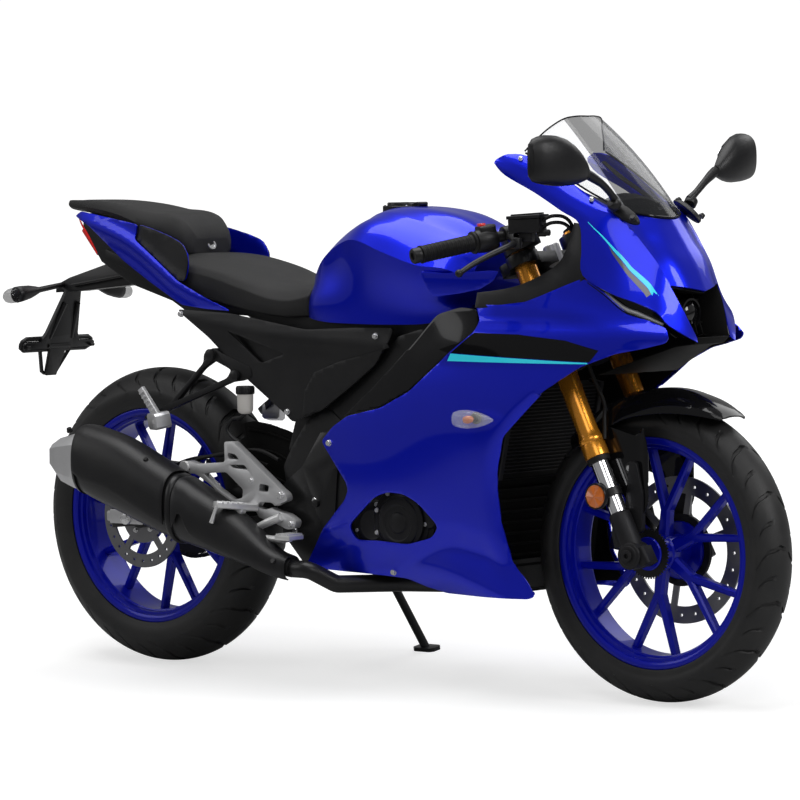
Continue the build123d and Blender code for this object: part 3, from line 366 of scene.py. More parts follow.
def cut(part, outline, near, far, radius):
    """Cut an outline (x, z) with rounded corners out of a finished piece, from near to far."""
    knife = bmesh.new()
    plate(knife, rounded(outline, radius), near, far)
    bmesh.ops.recalc_face_normals(knife, faces=knife.faces)
    cutter = stand(knife, "cutter")
    saw = part.modifiers.new("cut", "BOOLEAN")
    saw.operation, saw.solver, saw.object = "DIFFERENCE", "EXACT", cutter
    bake(part)
    bpy.data.meshes.remove(cutter.data)


def settle_edges(part, bevel):
    """Round a cut piece's edges and shade it."""
    soften(part, bevel, 50)
    bake(part)
    shade(part, 32)


# ---- node helpers ----
def shader_nodes(tree, *kinds):
    """New shader nodes of these kinds."""
    return [tree.nodes.new("ShaderNode" + kind) for kind in kinds]


def preset(*values):
    """Values of node inputs, from (node, input, value) rows."""
    for node, label, value in values:
        node.inputs[label].default_value = value


def wire(tree, *runs):
    """Links, from (node, output, node, input) rows."""
    for start, out, end, into in runs:
        tree.links.new(start.outputs[out], end.inputs[into])


# ---- Geometry Nodes: one item repeated on points, each aimed and sized ----
def repeat_tree():
    """Puts the item on every point, turned to its aim attribute."""
    tree = bpy.data.node_groups.new("Repeat on points", "GeometryNodeTree")
    for label, kind in (("Points", "NodeSocketGeometry"), ("Item", "NodeSocketObject"),
        ("Scale", "NodeSocketFloat"), ("Finish", "NodeSocketMaterial")):
        tree.interface.new_socket(label, in_out="INPUT", socket_type=kind)
    tree.interface.new_socket("Mesh", in_out="OUTPUT", socket_type="NodeSocketGeometry")
    inlet, outlet, item, aim, size, turn, grow, put, real, paint = (tree.nodes.new(kind) for kind in (
        "NodeGroupInput", "NodeGroupOutput", "GeometryNodeObjectInfo", "GeometryNodeInputNamedAttribute",
        "GeometryNodeInputNamedAttribute", "FunctionNodeAlignRotationToVector", "ShaderNodeVectorMath",
        "GeometryNodeInstanceOnPoints", "GeometryNodeRealizeInstances", "GeometryNodeSetMaterial"))
    aim.data_type = size.data_type = "FLOAT_VECTOR"
    turn.axis = "Z"
    grow.operation = "SCALE"
    preset((aim, "Name", "aim"), (size, "Name", "size"))
    wire(tree, (inlet, "Item", item, "Object"), (aim, "Attribute", turn, "Vector"),
        (size, "Attribute", grow, 0), (inlet, "Scale", grow, "Scale"), (inlet, "Points", put, "Points"),
        (item, "Geometry", put, "Instance"), (turn, "Rotation", put, "Rotation"),
        (grow, "Vector", put, "Scale"), (put, "Instances", real, "Geometry"), (real, "Geometry", paint,
            "Geometry"), (inlet, "Finish", paint, "Material"), (paint, "Geometry", outlet, 0))
    return tree


def set_input(modifier, label, value):
    """Set a Geometry Nodes input by its socket's identifier."""
    for socket in modifier.node_group.interface.items_tree:
        if socket.in_out == "INPUT" and socket.name == label:
            modifier[socket.identifier] = value
            return
    raise ValueError(f"no input named {label}")


def repeated(name, places, draw_item, look, body):
    """Copies of one drawn item at (point, direction, (sx, sy, sz)) places, as one piece."""
    bm = bmesh.new()
    draw_item(bm)
    bmesh.ops.recalc_face_normals(bm, faces=bm.faces)
    item = placed(bm, "item")
    turn = STANCE.to_3x3()
    mesh = bpy.data.meshes.new(name)
    mesh.from_pydata([STANCE @ Vector(p) for p, d, s in places], [], [])
    aims, spans = (mesh.attributes.new(label, "FLOAT_VECTOR", "POINT") for label in ("aim", "size"))
    for i, (p, d, s) in enumerate(places):
        aims.data[i].vector = (turn @ Vector(d)).normalized()
        spans.data[i].vector = s
    part = linked(mesh)
    nodes = part.modifiers.new("repeat", "NODES")
    nodes.node_group = bpy.data.node_groups.get("Repeat on points") or repeat_tree()
    set_input(nodes, "Item", item)
    set_input(nodes, "Scale", 0.001)
    set_input(nodes, "Finish", finish(look))
    settle(part, (), body, 32)
    bpy.data.meshes.remove(item.data)


def draw_bolt(bm):
    """A flanged socket screw of unit radius: washer, head and the hexagon in it."""
    turned(bm, (0, 0, -0.6), (0, 0, 1), ((0, 1.25), (0.6, 1.25), (0.72, 1.18), (0.74, 1)), 20)
    turned(bm, (0, 0, 0.1), (0, 0, 1), ((0, 1), (0.75, 1), (0.9, 0.88), (0.9, 0.56)), 20)
    turned(bm, (0, 0, 0.5), (0, 0, 1), ((0, 0.5), (0.38, 0.5)), 6)


def bolts(name, places, look="bright steel", body="chassis", slot=None):
    """Screws at (point, direction, radius) places."""
    repeated(name, [(p, d, (r, r, r)) for p, d, r in places], draw_bolt, look, body)


def side_bolts(name, spots, **settings):
    """Screws that point outwards on both sides, at (x, distance from the middle, z, radius)."""
    bolts(name, [((x, s * y, z), (0, s, 0), r) for x, y, z, r in spots for s in (RIGHT, LEFT)], **settings)


# ---- finishes ----
Look = namedtuple("Look", ("slot", "color", "roughness", "metallic", "coat", "film", "cloud", "grain",
        "grain_scale", "cells", "specular", "alpha", "glow", "film_color"), defaults=(0.4, 0, 0, 0.08, 9, 0,
        900, 0.5, 0.5, None, 0, (0.06, 0.057, 0.054)))
FINISHES = {               # a colour given by name is one of the settings
    "blue paint": Look("blue_paint", "body", 0.31, 0.72, 0.5, 0.02, 4, 0.02, 2600, 0.2, 0.1,
        film_color=(0.003, 0.02, 0.4)),
    "wheel enamel": Look("wheel_blue", "wheels", 0.35, 0.2, 0.35, 0.05, 6, 0.05, 1500, 0.2, 0.1),
    "gloss black": Look("black_plastic", (0.004, 0.004, 0.005), 0.12, 0, 0.35, 0.04, 6, 0.02, 1800, 0.2, 0.1),
    "moulded black": Look("black_plastic", (0.007, 0.007, 0.008), 0.36, 0, 0, 0.1, 7, 0.35, 1300, 0.7, 0.3),
    "deep black plastic": Look("black_plastic", (0.005, 0.005, 0.005), 0.62, 0, 0, 0.06, 7, 0.3, 1300, 0.7,
        0.06),
    "satin black metal": Look("black_metal", (0.012, 0.012, 0.013), 0.32, 0.3, 0.05, 0.1, 9, 0.25, 1100,
        0.2, 0.34),
    "heat-proof black": Look("black_metal", (0.022, 0.022, 0.023), 0.34, 0.35, 0.05, 0.1, 9, 0.25, 1100,
        0.2, 0.4),
    "dark casting": Look("black_metal", (0.014, 0.014, 0.016), 0.45, 0.4, 0, 0.16, 10, 0.5, 700, 0.4, 0.25),
    "silver casting": Look("alloy", (0.6, 0.6, 0.61), 0.34, 0.6, 0, 0.12, 12, 0.3, 900, 0.3),
    "bare alloy": Look("alloy", (0.72, 0.72, 0.72), 0.3, 0.6, 0, 0.08, 14, 0.15, 1500, 0.2),
    "bright steel": Look("steel", (0.7, 0.7, 0.71), 0.22, 0.8, 0, 0.06, 20, 0.08, 2000, 0.1),
    "hard chrome": Look("steel", (0.78, 0.78, 0.8), 0.06, 1, 0, 0.03, 14),
    "gold anodising": Look("gold", "fork", 0.26, 0.75, 0.3, 0.04, 9, 0.05, 1800, 0.1),
    "tyre rubber": Look("tyre", (0.014, 0.014, 0.0145), 0.46, 0, 0, 0.18, 12, 0.4, 1400, 0.3, 0.34),
    "soft rubber": Look("rubber", (0.007, 0.007, 0.0075), 0.5, 0, 0, 0.12, 20, 0.3, 1800, 0.6, 0.22),
    "seat vinyl": Look("seat", (0.009, 0.009, 0.0095), 0.48, 0, 0, 0.1, 8, 0.9, 1500, 1, 0.28),
    # The cyan stripe paint glows a little: a painted highlight that brightens the stripes.
    "cyan stripe": Look("blue_paint", "stripe", 0.3, 0, 0.6, 0.03, glow=0.22),
    "grey stripe": Look("blue_paint", (0.11, 0.11, 0.12), 0.32, 0.3, 0.8, 0.03),
    "clear lens": Look("lamp_clear", (0.95, 0.96, 0.97), 0.04, 0, 0, 0, alpha=0.2),
    "smoked screen": Look("screen", (0.02, 0.021, 0.023), 0.03, 0, 0, 0, specular=0.4, alpha=0.5),
    "clear screen": Look("screen", (0.75, 0.77, 0.8), 0.03, 0, 0, 0, specular=0.4, alpha=0.2),
    "amber lens": Look("lamp_clear", (0.72, 0.16, 0.004), 0.16, 0, 0.8, 0.05, 30, 0.5, 500, 1),
    # The red glow lights the tail lamp; on the kill switch it is a painted glow.
    "red lens": Look("lamp_red", (0.7, 0.01, 0.008), 0.15, 0, 0.8, 0.03, 20, glow=0.12),
    "translucent pot": Look("black_plastic", (0.75, 0.72, 0.68), 0.35, 0, 0.2, 0.06, 12),
    "mirror glass": Look("steel", (0.8, 0.82, 0.84), 0.02, 1, 0, 0),
    "brake disc steel": Look("steel", (0.2, 0.2, 0.21), 0.34, 1, 0, 0.15, 22, 0.2, 3000, 0.1),
    "black glass": Look("lamp_clear", (0.004, 0.004, 0.005), 0.04, 0, 0.6, 0, specular=0.3),
}


def node_group(name, inputs, outputs):
    """An empty shader group with named sockets, and its inlet and outlet nodes."""
    group = bpy.data.node_groups.new(name, "ShaderNodeTree")
    for label, kind, value in inputs:
        socket = group.interface.new_socket(label, in_out="INPUT", socket_type="NodeSocket" + kind)
        socket.default_value = value
    for label, kind in outputs:
        group.interface.new_socket(label, in_out="OUTPUT", socket_type="NodeSocket" + kind)
    return group, group.nodes.new("NodeGroupInput"), group.nodes.new("NodeGroupOutput")


def use_group():
    """Slow change of colour and roughness over a surface, as handling and road film leave."""
    ready = bpy.data.node_groups.get("Light use")
    if ready:
        return ready
    group, inlet, outlet = node_group("Light use", (("Color", "Color", (0.5, 0.5, 0.5, 1)),
            ("Film", "Color", (0.2, 0.19, 0.18, 1)), ("Scale", "Float", 9), ("Amount", "Float", 0.1),
            ("Roughness", "Float", 0.4)), (("Color", "Color"), ("Roughness", "Float")))
    where, cloud, spread, some, blend, rough = shader_nodes(group, "TexCoord", "TexNoise", "MapRange",
        "Math", "Mix", "Math")
    some.operation, rough.operation = "MULTIPLY", "MULTIPLY_ADD"
    blend.data_type = "RGBA"
    preset((cloud, "Detail", 6), (cloud, "Roughness", 0.62), (spread, "From Min", 0.42),
        (spread, "From Max", 0.72), (rough, 1, 0.5))
    wire(group, (where, "Object", cloud, "Vector"), (inlet, "Scale", cloud, "Scale"),
        (cloud, "Fac", spread, "Value"), (spread, "Result", some, 0), (inlet, "Amount", some, 1),
        (some, 0, blend, "Factor"), (inlet, "Color", blend, 6), (inlet, "Film", blend, 7),
        (blend, 2, outlet, "Color"), (some, 0, rough, 0), (inlet, "Roughness", rough, 2),
        (rough, 0, outlet, "Roughness"))
    return group


def grain_group():
    """Height of a fine moulded or cast grain."""
    ready = bpy.data.node_groups.get("Fine grain")
    if ready:
        return ready
    group, inlet, outlet = node_group("Fine grain", (("Scale", "Float", 900), ("Cells", "Float", 0.5)),
        (("Height", "Float"),))
    where, noise, cells, mix = shader_nodes(group, "TexCoord", "TexNoise", "TexVoronoi", "Mix")
    preset((noise, "Detail", 3))
    for texture in (noise, cells):
        wire(group, (where, "Object", texture, "Vector"), (inlet, "Scale", texture, "Scale"))
    wire(group, (inlet, "Cells", mix, "Factor"), (noise, "Fac", mix, 2), (cells, "Distance", mix, 3),
        (mix, 0, outlet, "Height"))
    return group


def finish(name):
    """The material of one finish, with its colour change, roughness and grain."""
    ready = bpy.data.materials.get(name)
    if ready:
        return ready
    look = FINISHES[name]
    color = (*(getattr(colours(), look.color) if isinstance(look.color, str) else look.color), 1)
    material = bpy.data.materials.new(name)
    material.use_nodes = True
    tree = material.node_tree
    shader = tree.nodes["Principled BSDF"]
    use = tree.nodes.new("ShaderNodeGroup")
    use.node_tree = use_group()
    wire(tree, (use, "Color", shader, "Base Color"), (use, "Roughness", shader, "Roughness"))
    preset((use, "Color", color), (use, "Film", (*look.film_color, 1)), (use, "Scale", look.cloud),
        (use, "Amount", look.film), (use, "Roughness", look.roughness), (shader, "Metallic", look.metallic),
        (shader, "Coat Weight", look.coat), (shader, "Coat Roughness", 0.04), (shader, "Specular IOR Level",
            look.specular))
    if look.alpha is not None:
        preset((shader, "Alpha", look.alpha))
    # Glow: the lamps' own light on the red tail lenses, and a painted glow on the cyan stripes and the red
    # kill switch, which are no lamps.
    if look.glow:
        preset((shader, "Emission Color", color), (shader, "Emission Strength", look.glow))
    if look.grain:
        fine, bump = shader_nodes(tree, "Group", "Bump")
        fine.node_tree = grain_group()
        preset((fine, "Scale", look.grain_scale), (fine, "Cells", look.cells),
            (bump, "Strength", look.grain), (bump, "Distance", 0.0004))
        wire(tree, (fine, "Height", bump, "Height"), (bump, "Normal", shader, "Normal"))
    return material


def colours():
    """The colour settings."""
    return bpy.context.scene.bike_colours


def sizes():
    """The settings of sizes and light."""
    return bpy.context.scene.bike_sizes


# ---- wheels ----
# name, axle, tyre radius, tyre width, crown drop, rim width, first spoke angle, hub half length
WHEELS = (
    ("front", FRONT_AXLE, FRONT_R, 100, 38, 86, 24, 55.25),
    ("rear", REAR_AXLE, REAR_R, 140, 48, 118, 40, 77.75),
)
BEAD_R = 229
SPOKES = 6
SPLIT_R = 92
SPREAD = radians(14)
SWEEP, WAVE, WAVES = 0.24, 0.03, 6.5      # how far a groove runs round the tyre, its bend and the bend's pace


def wheel_point(axle, angle, radius, y):
    """A place on a wheel: an angle up from ahead, a radius from the axle, and y across."""
    return Vector((axle.x + radius * cos(angle), y, axle.z + radius * sin(angle)))


def tyre_section(radius, width, drop, rim):
    """(y, radius, place across the crown or None) from the left bead to the right one."""
    half = width / 2
    curve = (half * half + drop * drop) / (2 * drop)
    edge = atan2(half, curve - drop)
    side = [(rim / 2 + 1.5, BEAD_R, None), (rim / 2 + 3, BEAD_R + 3, None), (half - 4.5, BEAD_R + 9, None),
        (half - 2.2, BEAD_R + 16, None), (half - 0.6, (BEAD_R + radius - drop) / 2 + 6, None)]
    crown = []
    for k in range(45):
        across = 1 - k / 22
        turn = edge * across
        crown.append((curve * sin(turn), radius - curve + curve * cos(turn), across))
    return side + crown + [(-y, r, None) for y, r, _ in side[::-1]]


def tyre(axle, radius, width, drop, rim):
    """A road tyre with long curved grooves cut into its crown."""
    across = tyre_section(radius, width, drop, rim)
    grooves, columns = sizes().grooves, 8
    # each groove's share of the crown has eight columns of points: how deep they lie, and where
    depth = (0, 0, 1, 1, 0, 0, 0, 0)
    spread = (0, 0.24, 0.27, 0.39, 0.42, 0.55, 0.7, 0.85)
    bm = bmesh.new()
    rings = []
    for k in range(grooves * columns):
        turn, column = divmod(k, columns)
        ring = []
        for y, r, crown in across:
            angle = (turn + spread[column]) / grooves * 2 * pi
            if crown is not None:
                far = abs(crown)
                half_turn = 0 if crown > 0 else 0.5 / grooves * 2 * pi
                fade = share((far - 0.07) / 0.06) * share((0.97 - far) / 0.05)
                if turn % 2:
                    fade *= share((far - 0.38) / 0.06) * share((0.86 - far) / 0.06)
                r -= sizes().tread_depth * 1000 * fade * depth[column]
                angle -= SWEEP * far ** 1.3 + WAVE * sin(far * WAVES) - half_turn * min(1, far * 4)
            else:
                angle -= SWEEP + WAVE * sin(WAVES) - (0 if y > 0 else 0.5 / grooves * 2 * pi)
            ring.append(wheel_point(axle, angle, r, y))
        rings.append(ring)
    bridge(bm, rings + [rings[0]], closed=True, caps=False)
    return bm


def cast_wheel(name, axle, rim_w, first, hub_half):
    """A cast wheel: rolled barrel, hub and spokes that each divide in two."""
    bm = bmesh.new()
    half = rim_w / 2
    section = ((half, 226), (half - 1.5, 228.6), (half - 4, 228.6), (half - 6, 222), (half - 16, 214),
        (8 - half + 20, 212), (16 - half, 214), (6 - half, 222), (4 - half, 228.6), (1.5 - half, 228.6),
        (-half, 226), (-half, 219), (3 - half, 214.5), (9 - half, 213), (10 - half, 207.5),
        (19 - half, 205.5), (20 - half, 202.5), (half - 20, 202.5), (half - 19, 205.5), (half - 10, 207.5),
        (half - 9, 213), (half - 3, 214.5), (half, 219))
    rings = [[wheel_point(axle, angle, r, y) for y, r in section] for angle in turns(120)]
    bridge(bm, rings + [rings[0]], caps=False)
    deep = 11.5
    for step in range(SPOKES):
        root = radians(first) + step * 2 * pi / SPOKES
        bar(bm, wheel_point(axle, root, 22, 0), wheel_point(axle, root, SPLIT_R, 0), 14, deep, 11.5, deep,
            corner=0.45)
        for side in (-1, 1):
            bar(bm, wheel_point(axle, root, SPLIT_R - 14, 0), wheel_point(axle, root + side * SPREAD, 207,
                    0), 8.5, deep, 6.5, deep - 1.5, corner=0.45)
    turned(bm, axle - Vector((0, hub_half, 0)), (0, 1, 0), ((0, 20), (0, 31), (2, 33), (hub_half - 16, 33),
            (hub_half - 13, 36), (hub_half + 13, 36), (hub_half + 16, 33), (2 * hub_half - 2, 33),
            (2 * hub_half, 31), (2 * hub_half, 20)), 40)
    for way in (-1,) if name == "front" else (1, -1):
        face = -way * hub_half
        turned(bm, axle + Vector((0, face, 0)), (0, way, 0), ((0.3, 20), (0.3, 56), (2, 57.5), (7, 57.5),
                (9, 54), (9, 20)), 48)
    return bm


class BIKE_OT_wheels(bpy.types.Operator):
    """Tyres with their tread, cast wheels, discs and the screws on them"""
    bl_idname = "bike.wheels"
    bl_label = "Wheels"

    def execute(self, context):
        for name, axle, radius, width, drop, rim_w, first, hub_half in WHEELS:
            body = name + "_wheel"
            piece(name + "_road_tyre", tyre(axle, radius, width, drop, rim_w), "tyre rubber",
                (name + "_tyre",), body=body, crisp=32)
            piece(name + "_cast_wheel", cast_wheel(name, axle, rim_w, first, hub_half), "wheel enamel",
                (name + "_rim",), body=body, crisp=35)
            dress(name + "_disc", "brake disc steel")
        for name, axle, y, way, ring in (("front", FRONT_AXLE, 60.2, 1, 40),
            ("rear", REAR_AXLE, -82.8, -1, 36)):
            screws = [(wheel_point(axle, angle, ring, y), (0, way, 0), 4.5) for angle in turns(5, 0.4)]
            bolts(name + "_disc_screws", screws, body=name + "_wheel")
        dress("rear_sprocket", "dark casting")
        bm = bmesh.new()
        for face in (53.6, 58.8):
            middle = FRONT_AXLE + Vector((0, face, 0))
            turned(bm, middle, (0, 1, 0), ((0, 62), (0, 72), (2.4, 72), (2.4, 62), (0, 62)), 60)
            for angle in turns(5, 0.4):
                root = wheel_point(FRONT_AXLE, angle, 44, face + 1.2)
                bar(bm, root, wheel_point(FRONT_AXLE, angle + 0.3, 66, face + 1.2), 7, 1.2)
        turned(bm, FRONT_AXLE + Vector((0, -52, 0)), (0, 1, 0), ((0, 37), (0, 47), (2, 47), (2, 37),
                (0, 37)), 48)
        for angle in turns(48):
            bar(bm, wheel_point(FRONT_AXLE, angle, 46, -51), wheel_point(FRONT_AXLE, angle, 50, -51), 1.5, 1)
        piece("front_disc_carrier", bm, "dark casting", body="front_wheel", crisp=30)
        return {"FINISHED"}


# ---- bodywork ----
def full_ring(x, *runs):
    """A closed ring at x from runs of (half width, z), top centre to bottom centre; each run's
    ends stay crisp."""
    half = []
    for run in runs:
        points = [Vector((x, -y, z)) for y, z in run]
        if len(run) > 2:
            points = smooth_run(points, 4)
        half += points[1:] if half else points
    return half + mirrored(half[-2:0:-1])


def along_rings(bm, rings, **ends):
    """A skin whose lines run smoothly from ring to ring."""
    lines = [smooth_run([ring[i] for ring in rings], 5) for i in range(len(rings[0]))]
    bridge(bm, [[line[k] for line in lines] for k in range(len(lines[0]))], **ends)


TANK = (                   # x; low z, half width; crease z, half; shoulder z, half; top z
    (441, 775, 30, 796, 44, 812, 30, 822),
    (462, 758, 78, 826, 82, 850, 52, 860),
    (500, 745, 110, 866, 118, 896, 72, 906),
    (560, 738, 126, 898, 134, 932, 82, 941),
    (640, 736, 132, 906, 153, 958, 92, 968),
    (740, 736, 132, 884, 163, 957, 98, 970),
    (830, 740, 122, 858, 163, 934, 94, 957),
    (900, 760, 106, 850, 150, 908, 87, 931),
    (939, 790, 88, 822, 118, 882, 72, 903),
)


def tank_mesh():
    """The tank's skin from its stations, its front leaning back towards the top."""
    bm = bmesh.new()
    rings = []
    for x, low, foot, crease, belt, shoulder, round_y, top in TANK:
        rings.append(full_ring(x, ((0, top), (round_y * 0.5, top - 0.5), (round_y * 0.86, shoulder + 3),
                (round_y, shoulder - 3)), ((round_y, shoulder - 3), ((round_y + belt) / 2 + 4,
                (shoulder + crease) / 2 + 7), (belt, crease)), ((belt, crease), (belt * 0.94,
                (crease * 2 + low) / 3), (foot + 6, (crease + low * 2) / 3 - 6), (foot, low)),
                ((foot, low), (0, low))))
    for ring in rings:
        for point in ring:
            lean = eased(((730, 0), (823, 34), (903, 84), (970, 116)), max(730, point.z))
            point.x += lean * max(0, 1 - (point.x - 441) / 280)
    along_rings(bm, rings)
    return bm


def wing_skin(x, z):
    """Half width of the wings ahead of the tank."""
    return eased(((790, 164), (860, 163), (930, 157), (985, 147), (1040, 139)), x) - 0.0022 * (z - 850) ** 2


TANK_WING = ((846, 846), (905, 842), (960, 845), (1004, 848), (1028, 847), (1014, 828), (982, 811),
    (935, 802), (884, 796), (870, 795), (858, 812), (850, 830))


class BIKE_OT_tank(bpy.types.Operator):
    """Fuel tank with its creased sides, front wings, filler ring and cap"""
    bl_idname = "bike.fuel_tank"
    bl_label = "Fuel tank"

    def execute(self, context):
        piece("tank_shell", tank_mesh(), "blue paint", ("fuel_tank",), crisp=24)
        panels("tank_wings", "blue paint", TANK_WING, 5, wing_skin, cell=8, wall=4, bevel=1.6)
        cap = Vector((668, 0, 0))
        hinge_x, hinge_z = 713, 977.3
        bm = bmesh.new()
        turned(bm, cap, (0, 0, 1), ((955, 45), (972.2, 45), (973.2, 44), (973.2, 37.5), (970, 36.8),
                (955, 36.8)), 56)
        piece("filler_ring", bm, "satin black metal", crisp=40)
        corners = [radians(45 + 90 * k) for k in range(4)]
        bolts("filler_ring_screws", [((cap.x + 40.5 * cos(a), 40.5 * sin(a), 973), (0, 0, 1), 2.1)
                for a in corners])
        bm = bmesh.new()
        turned(bm, cap, (0, 0, 1), ((973.3, 35.6), (978, 35.8), (980, 34.4), (980.2, 24), (979.4, 22),
                (979.4, 9), (980.6, 8), (980.6, 4)), 56)
        bar(bm, (700, 0, 977), (hinge_x, 0, 977), 9.5, 2.8, flat=(0, 0, 1))
        turned(bm, (hinge_x, -9.8, hinge_z), (0, 1, 0), ((0, 3.6), (0.4, 4), (19.2, 4), (19.6, 3.6)), 20)
        piece("filler_lid", bm, "satin black metal", ("fuel_cap",), body="fuel_lid", crisp=40)
        bm = bmesh.new()
        for y in (-13, 13):
            turned(bm, (hinge_x, y - 2.6, hinge_z), (0, 1, 0), ((0, 3.6), (0.4, 4), (4.8, 4),
                    (5.2, 3.6)), 20)
            bar(bm, (hinge_x, y, 966), (hinge_x, y, 977), 4, 2.6)
        turned(bm, (hinge_x, -15, hinge_z), (0, 1, 0), ((0, 1.9), (30, 1.9)), 12)
        piece("filler_hinge", bm, "satin black metal")
        return {"FINISHED"}


SEAT = (                   # x; low z, half; middle z, half; top edge z, half; crown z
    (36, 850, 58, 858, 62, 863, 58, 866),
    (125, 806, 110, 842, 113, 862, 92, 873),
    (225, 780, 118, 828, 122, 851, 98, 868),
    (330, 758, 124, 802, 126, 829, 96, 846),
    (400, 748, 124, 784, 125, 812, 86, 822),
    (455, 744, 120, 780, 122, 810, 82, 818),
    (506, 746, 108, 790, 112, 816, 76, 820),
)
PILLION = (                # x; low z, half; middle z, half; crown z
    (-262, 968, 22, 976, 26, 980),
    (-240, 961, 34, 975, 38, 982),
    (-150, 951, 60, 968, 74, 984),
    (-60, 934, 78, 955, 92, 977),
    (20, 908, 88, 932, 100, 966),
    (70, 876, 84, 922, 92, 963),
    (100, 862, 79, 914, 86, 956),
    (120, 856, 73, 906, 79, 936),
    (130, 858, 62, 898, 68, 918),
    (134, 864, 52, 890, 58, 904),
)


class BIKE_OT_seats(bpy.types.Operator):
    """Rider's seat, and the pillion hump with its lock"""
    bl_idname = "bike.seats"
    bl_label = "Seats"

    def execute(self, context):
        bm = bmesh.new()
        rings = [full_ring(x, ((0, crown), (top_y * 0.6, crown - 1), (top_y, top)),
                ((top_y, top), ((top_y + mid_y) / 2 + 3, (top + mid) / 2 + 3), (mid_y, mid)),
                ((mid_y, mid), ((mid_y + low_y) / 2 + 2, (mid + low) / 2), (low_y, low)),
                ((low_y, low), (0, low))) for x, low, low_y, mid, mid_y, top, top_y, crown in SEAT]
        along_rings(bm, rings)
        seat = piece("rider_seat_pad", bm, "seat vinyl", ("rider_seat",), crisp=50, levels=1)
        bm = bmesh.new()
        rings = [full_ring(x, ((0, crown), (mid_y * 0.5, crown - 1.5), (mid_y * 0.78,
                (crown * 2 + mid) / 3 + 5)), ((mid_y * 0.78, (crown * 2 + mid) / 3 + 5), (mid_y, mid)),
                ((mid_y, mid), (low_y, low)), ((low_y, low), (0, low)))
            for x, low, low_y, mid, mid_y, crown in PILLION]
        along_rings(bm, rings)
        hump = piece("pillion_pad", bm, "seat vinyl", ("pillion_seat",), crisp=40, levels=1)
        lock = Vector((136, 0, 882))
        bm = bmesh.new()
        turned(bm, lock - Vector((8, 0, -6)), (0.93, -0.1, 0.37), ((0, 12), (6, 12), (8, 11), (8, 7.5),
                (6, 7), (6, 1.2)), 28)
        piece("seat_lock", bm, "bright steel", slot="black_gloss")
        return {"FINISHED"}


def tail_skin(x, z):
    """Half width of the tail, with a fold that runs along it."""
    base = eased(((-215, 60), (-171, 77), (-100, 93), (0, 111), (90, 124), (160, 133), (320, 139)), x)
    return base + 6 * max(0, 1 - abs(z - eased(((-180, 945), (0, 895), (160, 810), (320, 757)), x)) / 26)


TAIL_STRIP = ((-193, 951), (-171, 961), (-60, 946), (25, 934), (19, 903), (88, 862), (163, 816), (240, 784),
    (313, 757), (240, 760), (170, 767), (70, 812), (-24, 858), (-92, 899), (-140, 930))
TAIL_FIN = ((25, 934), (78, 923), (130, 909), (165, 896), (180, 876), (184, 857), (176, 818), (163, 816),
    (88, 862), (19, 903))


class BIKE_OT_tail(bpy.types.Operator):
    """Tail panels, fins, underside and lamp"""
    bl_idname = "bike.tail"
    bl_label = "Tail"

    def execute(self, context):
        panels("tail_strips", "blue paint", TAIL_STRIP, 6, tail_skin, ("tail_panels",), wall=4, bevel=1.4)
        panels("tail_fins", "blue paint", TAIL_FIN, 9, lambda x, z: tail_skin(x, z) - 7, wall=3, bevel=1.2)
        panels("tail_scoops", "moulded black", TAIL_FIN, 12, lambda x, z: tail_skin(x, z) - 6, wall=2,
            bevel=1, inward=False)
        refine("tail_underside", "moulded black", 3)
        bm = bmesh.new()
        rings = []
        for y, back in ((-48, 0), (-40, 5), (-20, 7.5), (0, 8.5), (20, 7.5), (40, 5), (48, 0)):
            rings.append([Vector((-193 - back, y, 927)), Vector((-201 - back, y, 918)),
                    Vector((-156 - back * 0.6, y, 865)), Vector((-148, y, 872))])
        bridge(bm, rings)
        piece("tail_lamp_lens", bm, "red lens", ("tail_lamp",), bevel=2)
        bm = bmesh.new()
        for side in (-1, 1):
            tube(bm, [(-196, side * 62, 955), (-176, side * 74, 934), (-143, side * 84, 903),
                    (-118, side * 88, 872)], (1.6, 2.2, 1.4), 8)
        piece("tail_light_strips", bm, "red lens")
        return {"FINISHED"}


COVER = ((156, 758), (304, 752), (514, 722), (640, 728), (745, 729), (735, 700), (700, 655), (640, 612),
    (560, 560), (500, 540), (477, 530), (455, 548), (351, 616), (246, 698))
COVER_RECESS = ((298, 716), (456, 671), (390, 650))
COVER_STEP = ((505, 546), (512, 597), (539, 635), (603, 658), (700, 680), (742, 690), (735, 700), (700, 655),
    (640, 612), (560, 560))


def cover_skin(x, z):
    """Half width of the side covers, with a fold that runs along them."""
    fold = 5 * max(0, 1 - abs(z - eased(((156, 745), (400, 712), (745, 690)), x)) / 30)
    return 131 + fold + 4 * sin((x - 156) / 590 * pi)


class BIKE_OT_side_covers(bpy.types.Operator):
    """Black covers below the seat and tank, with their sunk triangle and screws"""
    bl_idname = "bike.side_covers"
    bl_label = "Side covers"

    def execute(self, context):
        part = panels("side_cover_panels", "moulded black", COVER, 10, cover_skin, ("side_covers",), cell=10,
            wall=4)
        for side in (-1, 1):
            cut(part, COVER_RECESS, side * 100, side * 160, 7)
        settle_edges(part, 1.8)
        bm = bmesh.new()
        pocket = [(x + (x - 380) * 0.12, z + (z - 680) * 0.2) for x, z in COVER_RECESS]
        panel(bm, pocket, lambda x, z: cover_skin(x, z) - 9 + 0.05 * (x - 380), cell=10)
        panel(bm, COVER_STEP, cover_skin, 3.6, cell=10)
        piece("cover_layers", bm, "moulded black", pair=True, wall=3.4, bevel=1.4)
        spar = ((440, 470), (470, 560), (560, 575), (640, 625), (700, 668), (752, 712), (815, 728),
            (892, 694), (845, 625), (751, 580), (655, 560), (600, 528), (560, 497), (520, 440))
        panels("spar_covers", "satin black metal", spar, 6, lambda x, z: 116 + 0.05 * (x - 600), cell=12,
            slot="black_plastic", wall=4, bevel=1.4)
        base = ((150, 752), (330, 746), (500, 715), (868, 712), (860, 765), (500, 775), (400, 785),
            (300, 800), (200, 832), (140, 840))
        panels("seat_base", "moulded black", base, 0, lambda x, z: 106, cell=20, wall=3)
        side_bolts("side_cover_screws", [(x, cover_skin(x, z) + 0.6, z, 5.2)
                for x, z in ((168, 748), (462, 552), (700, 712))])
        return {"FINISHED"}


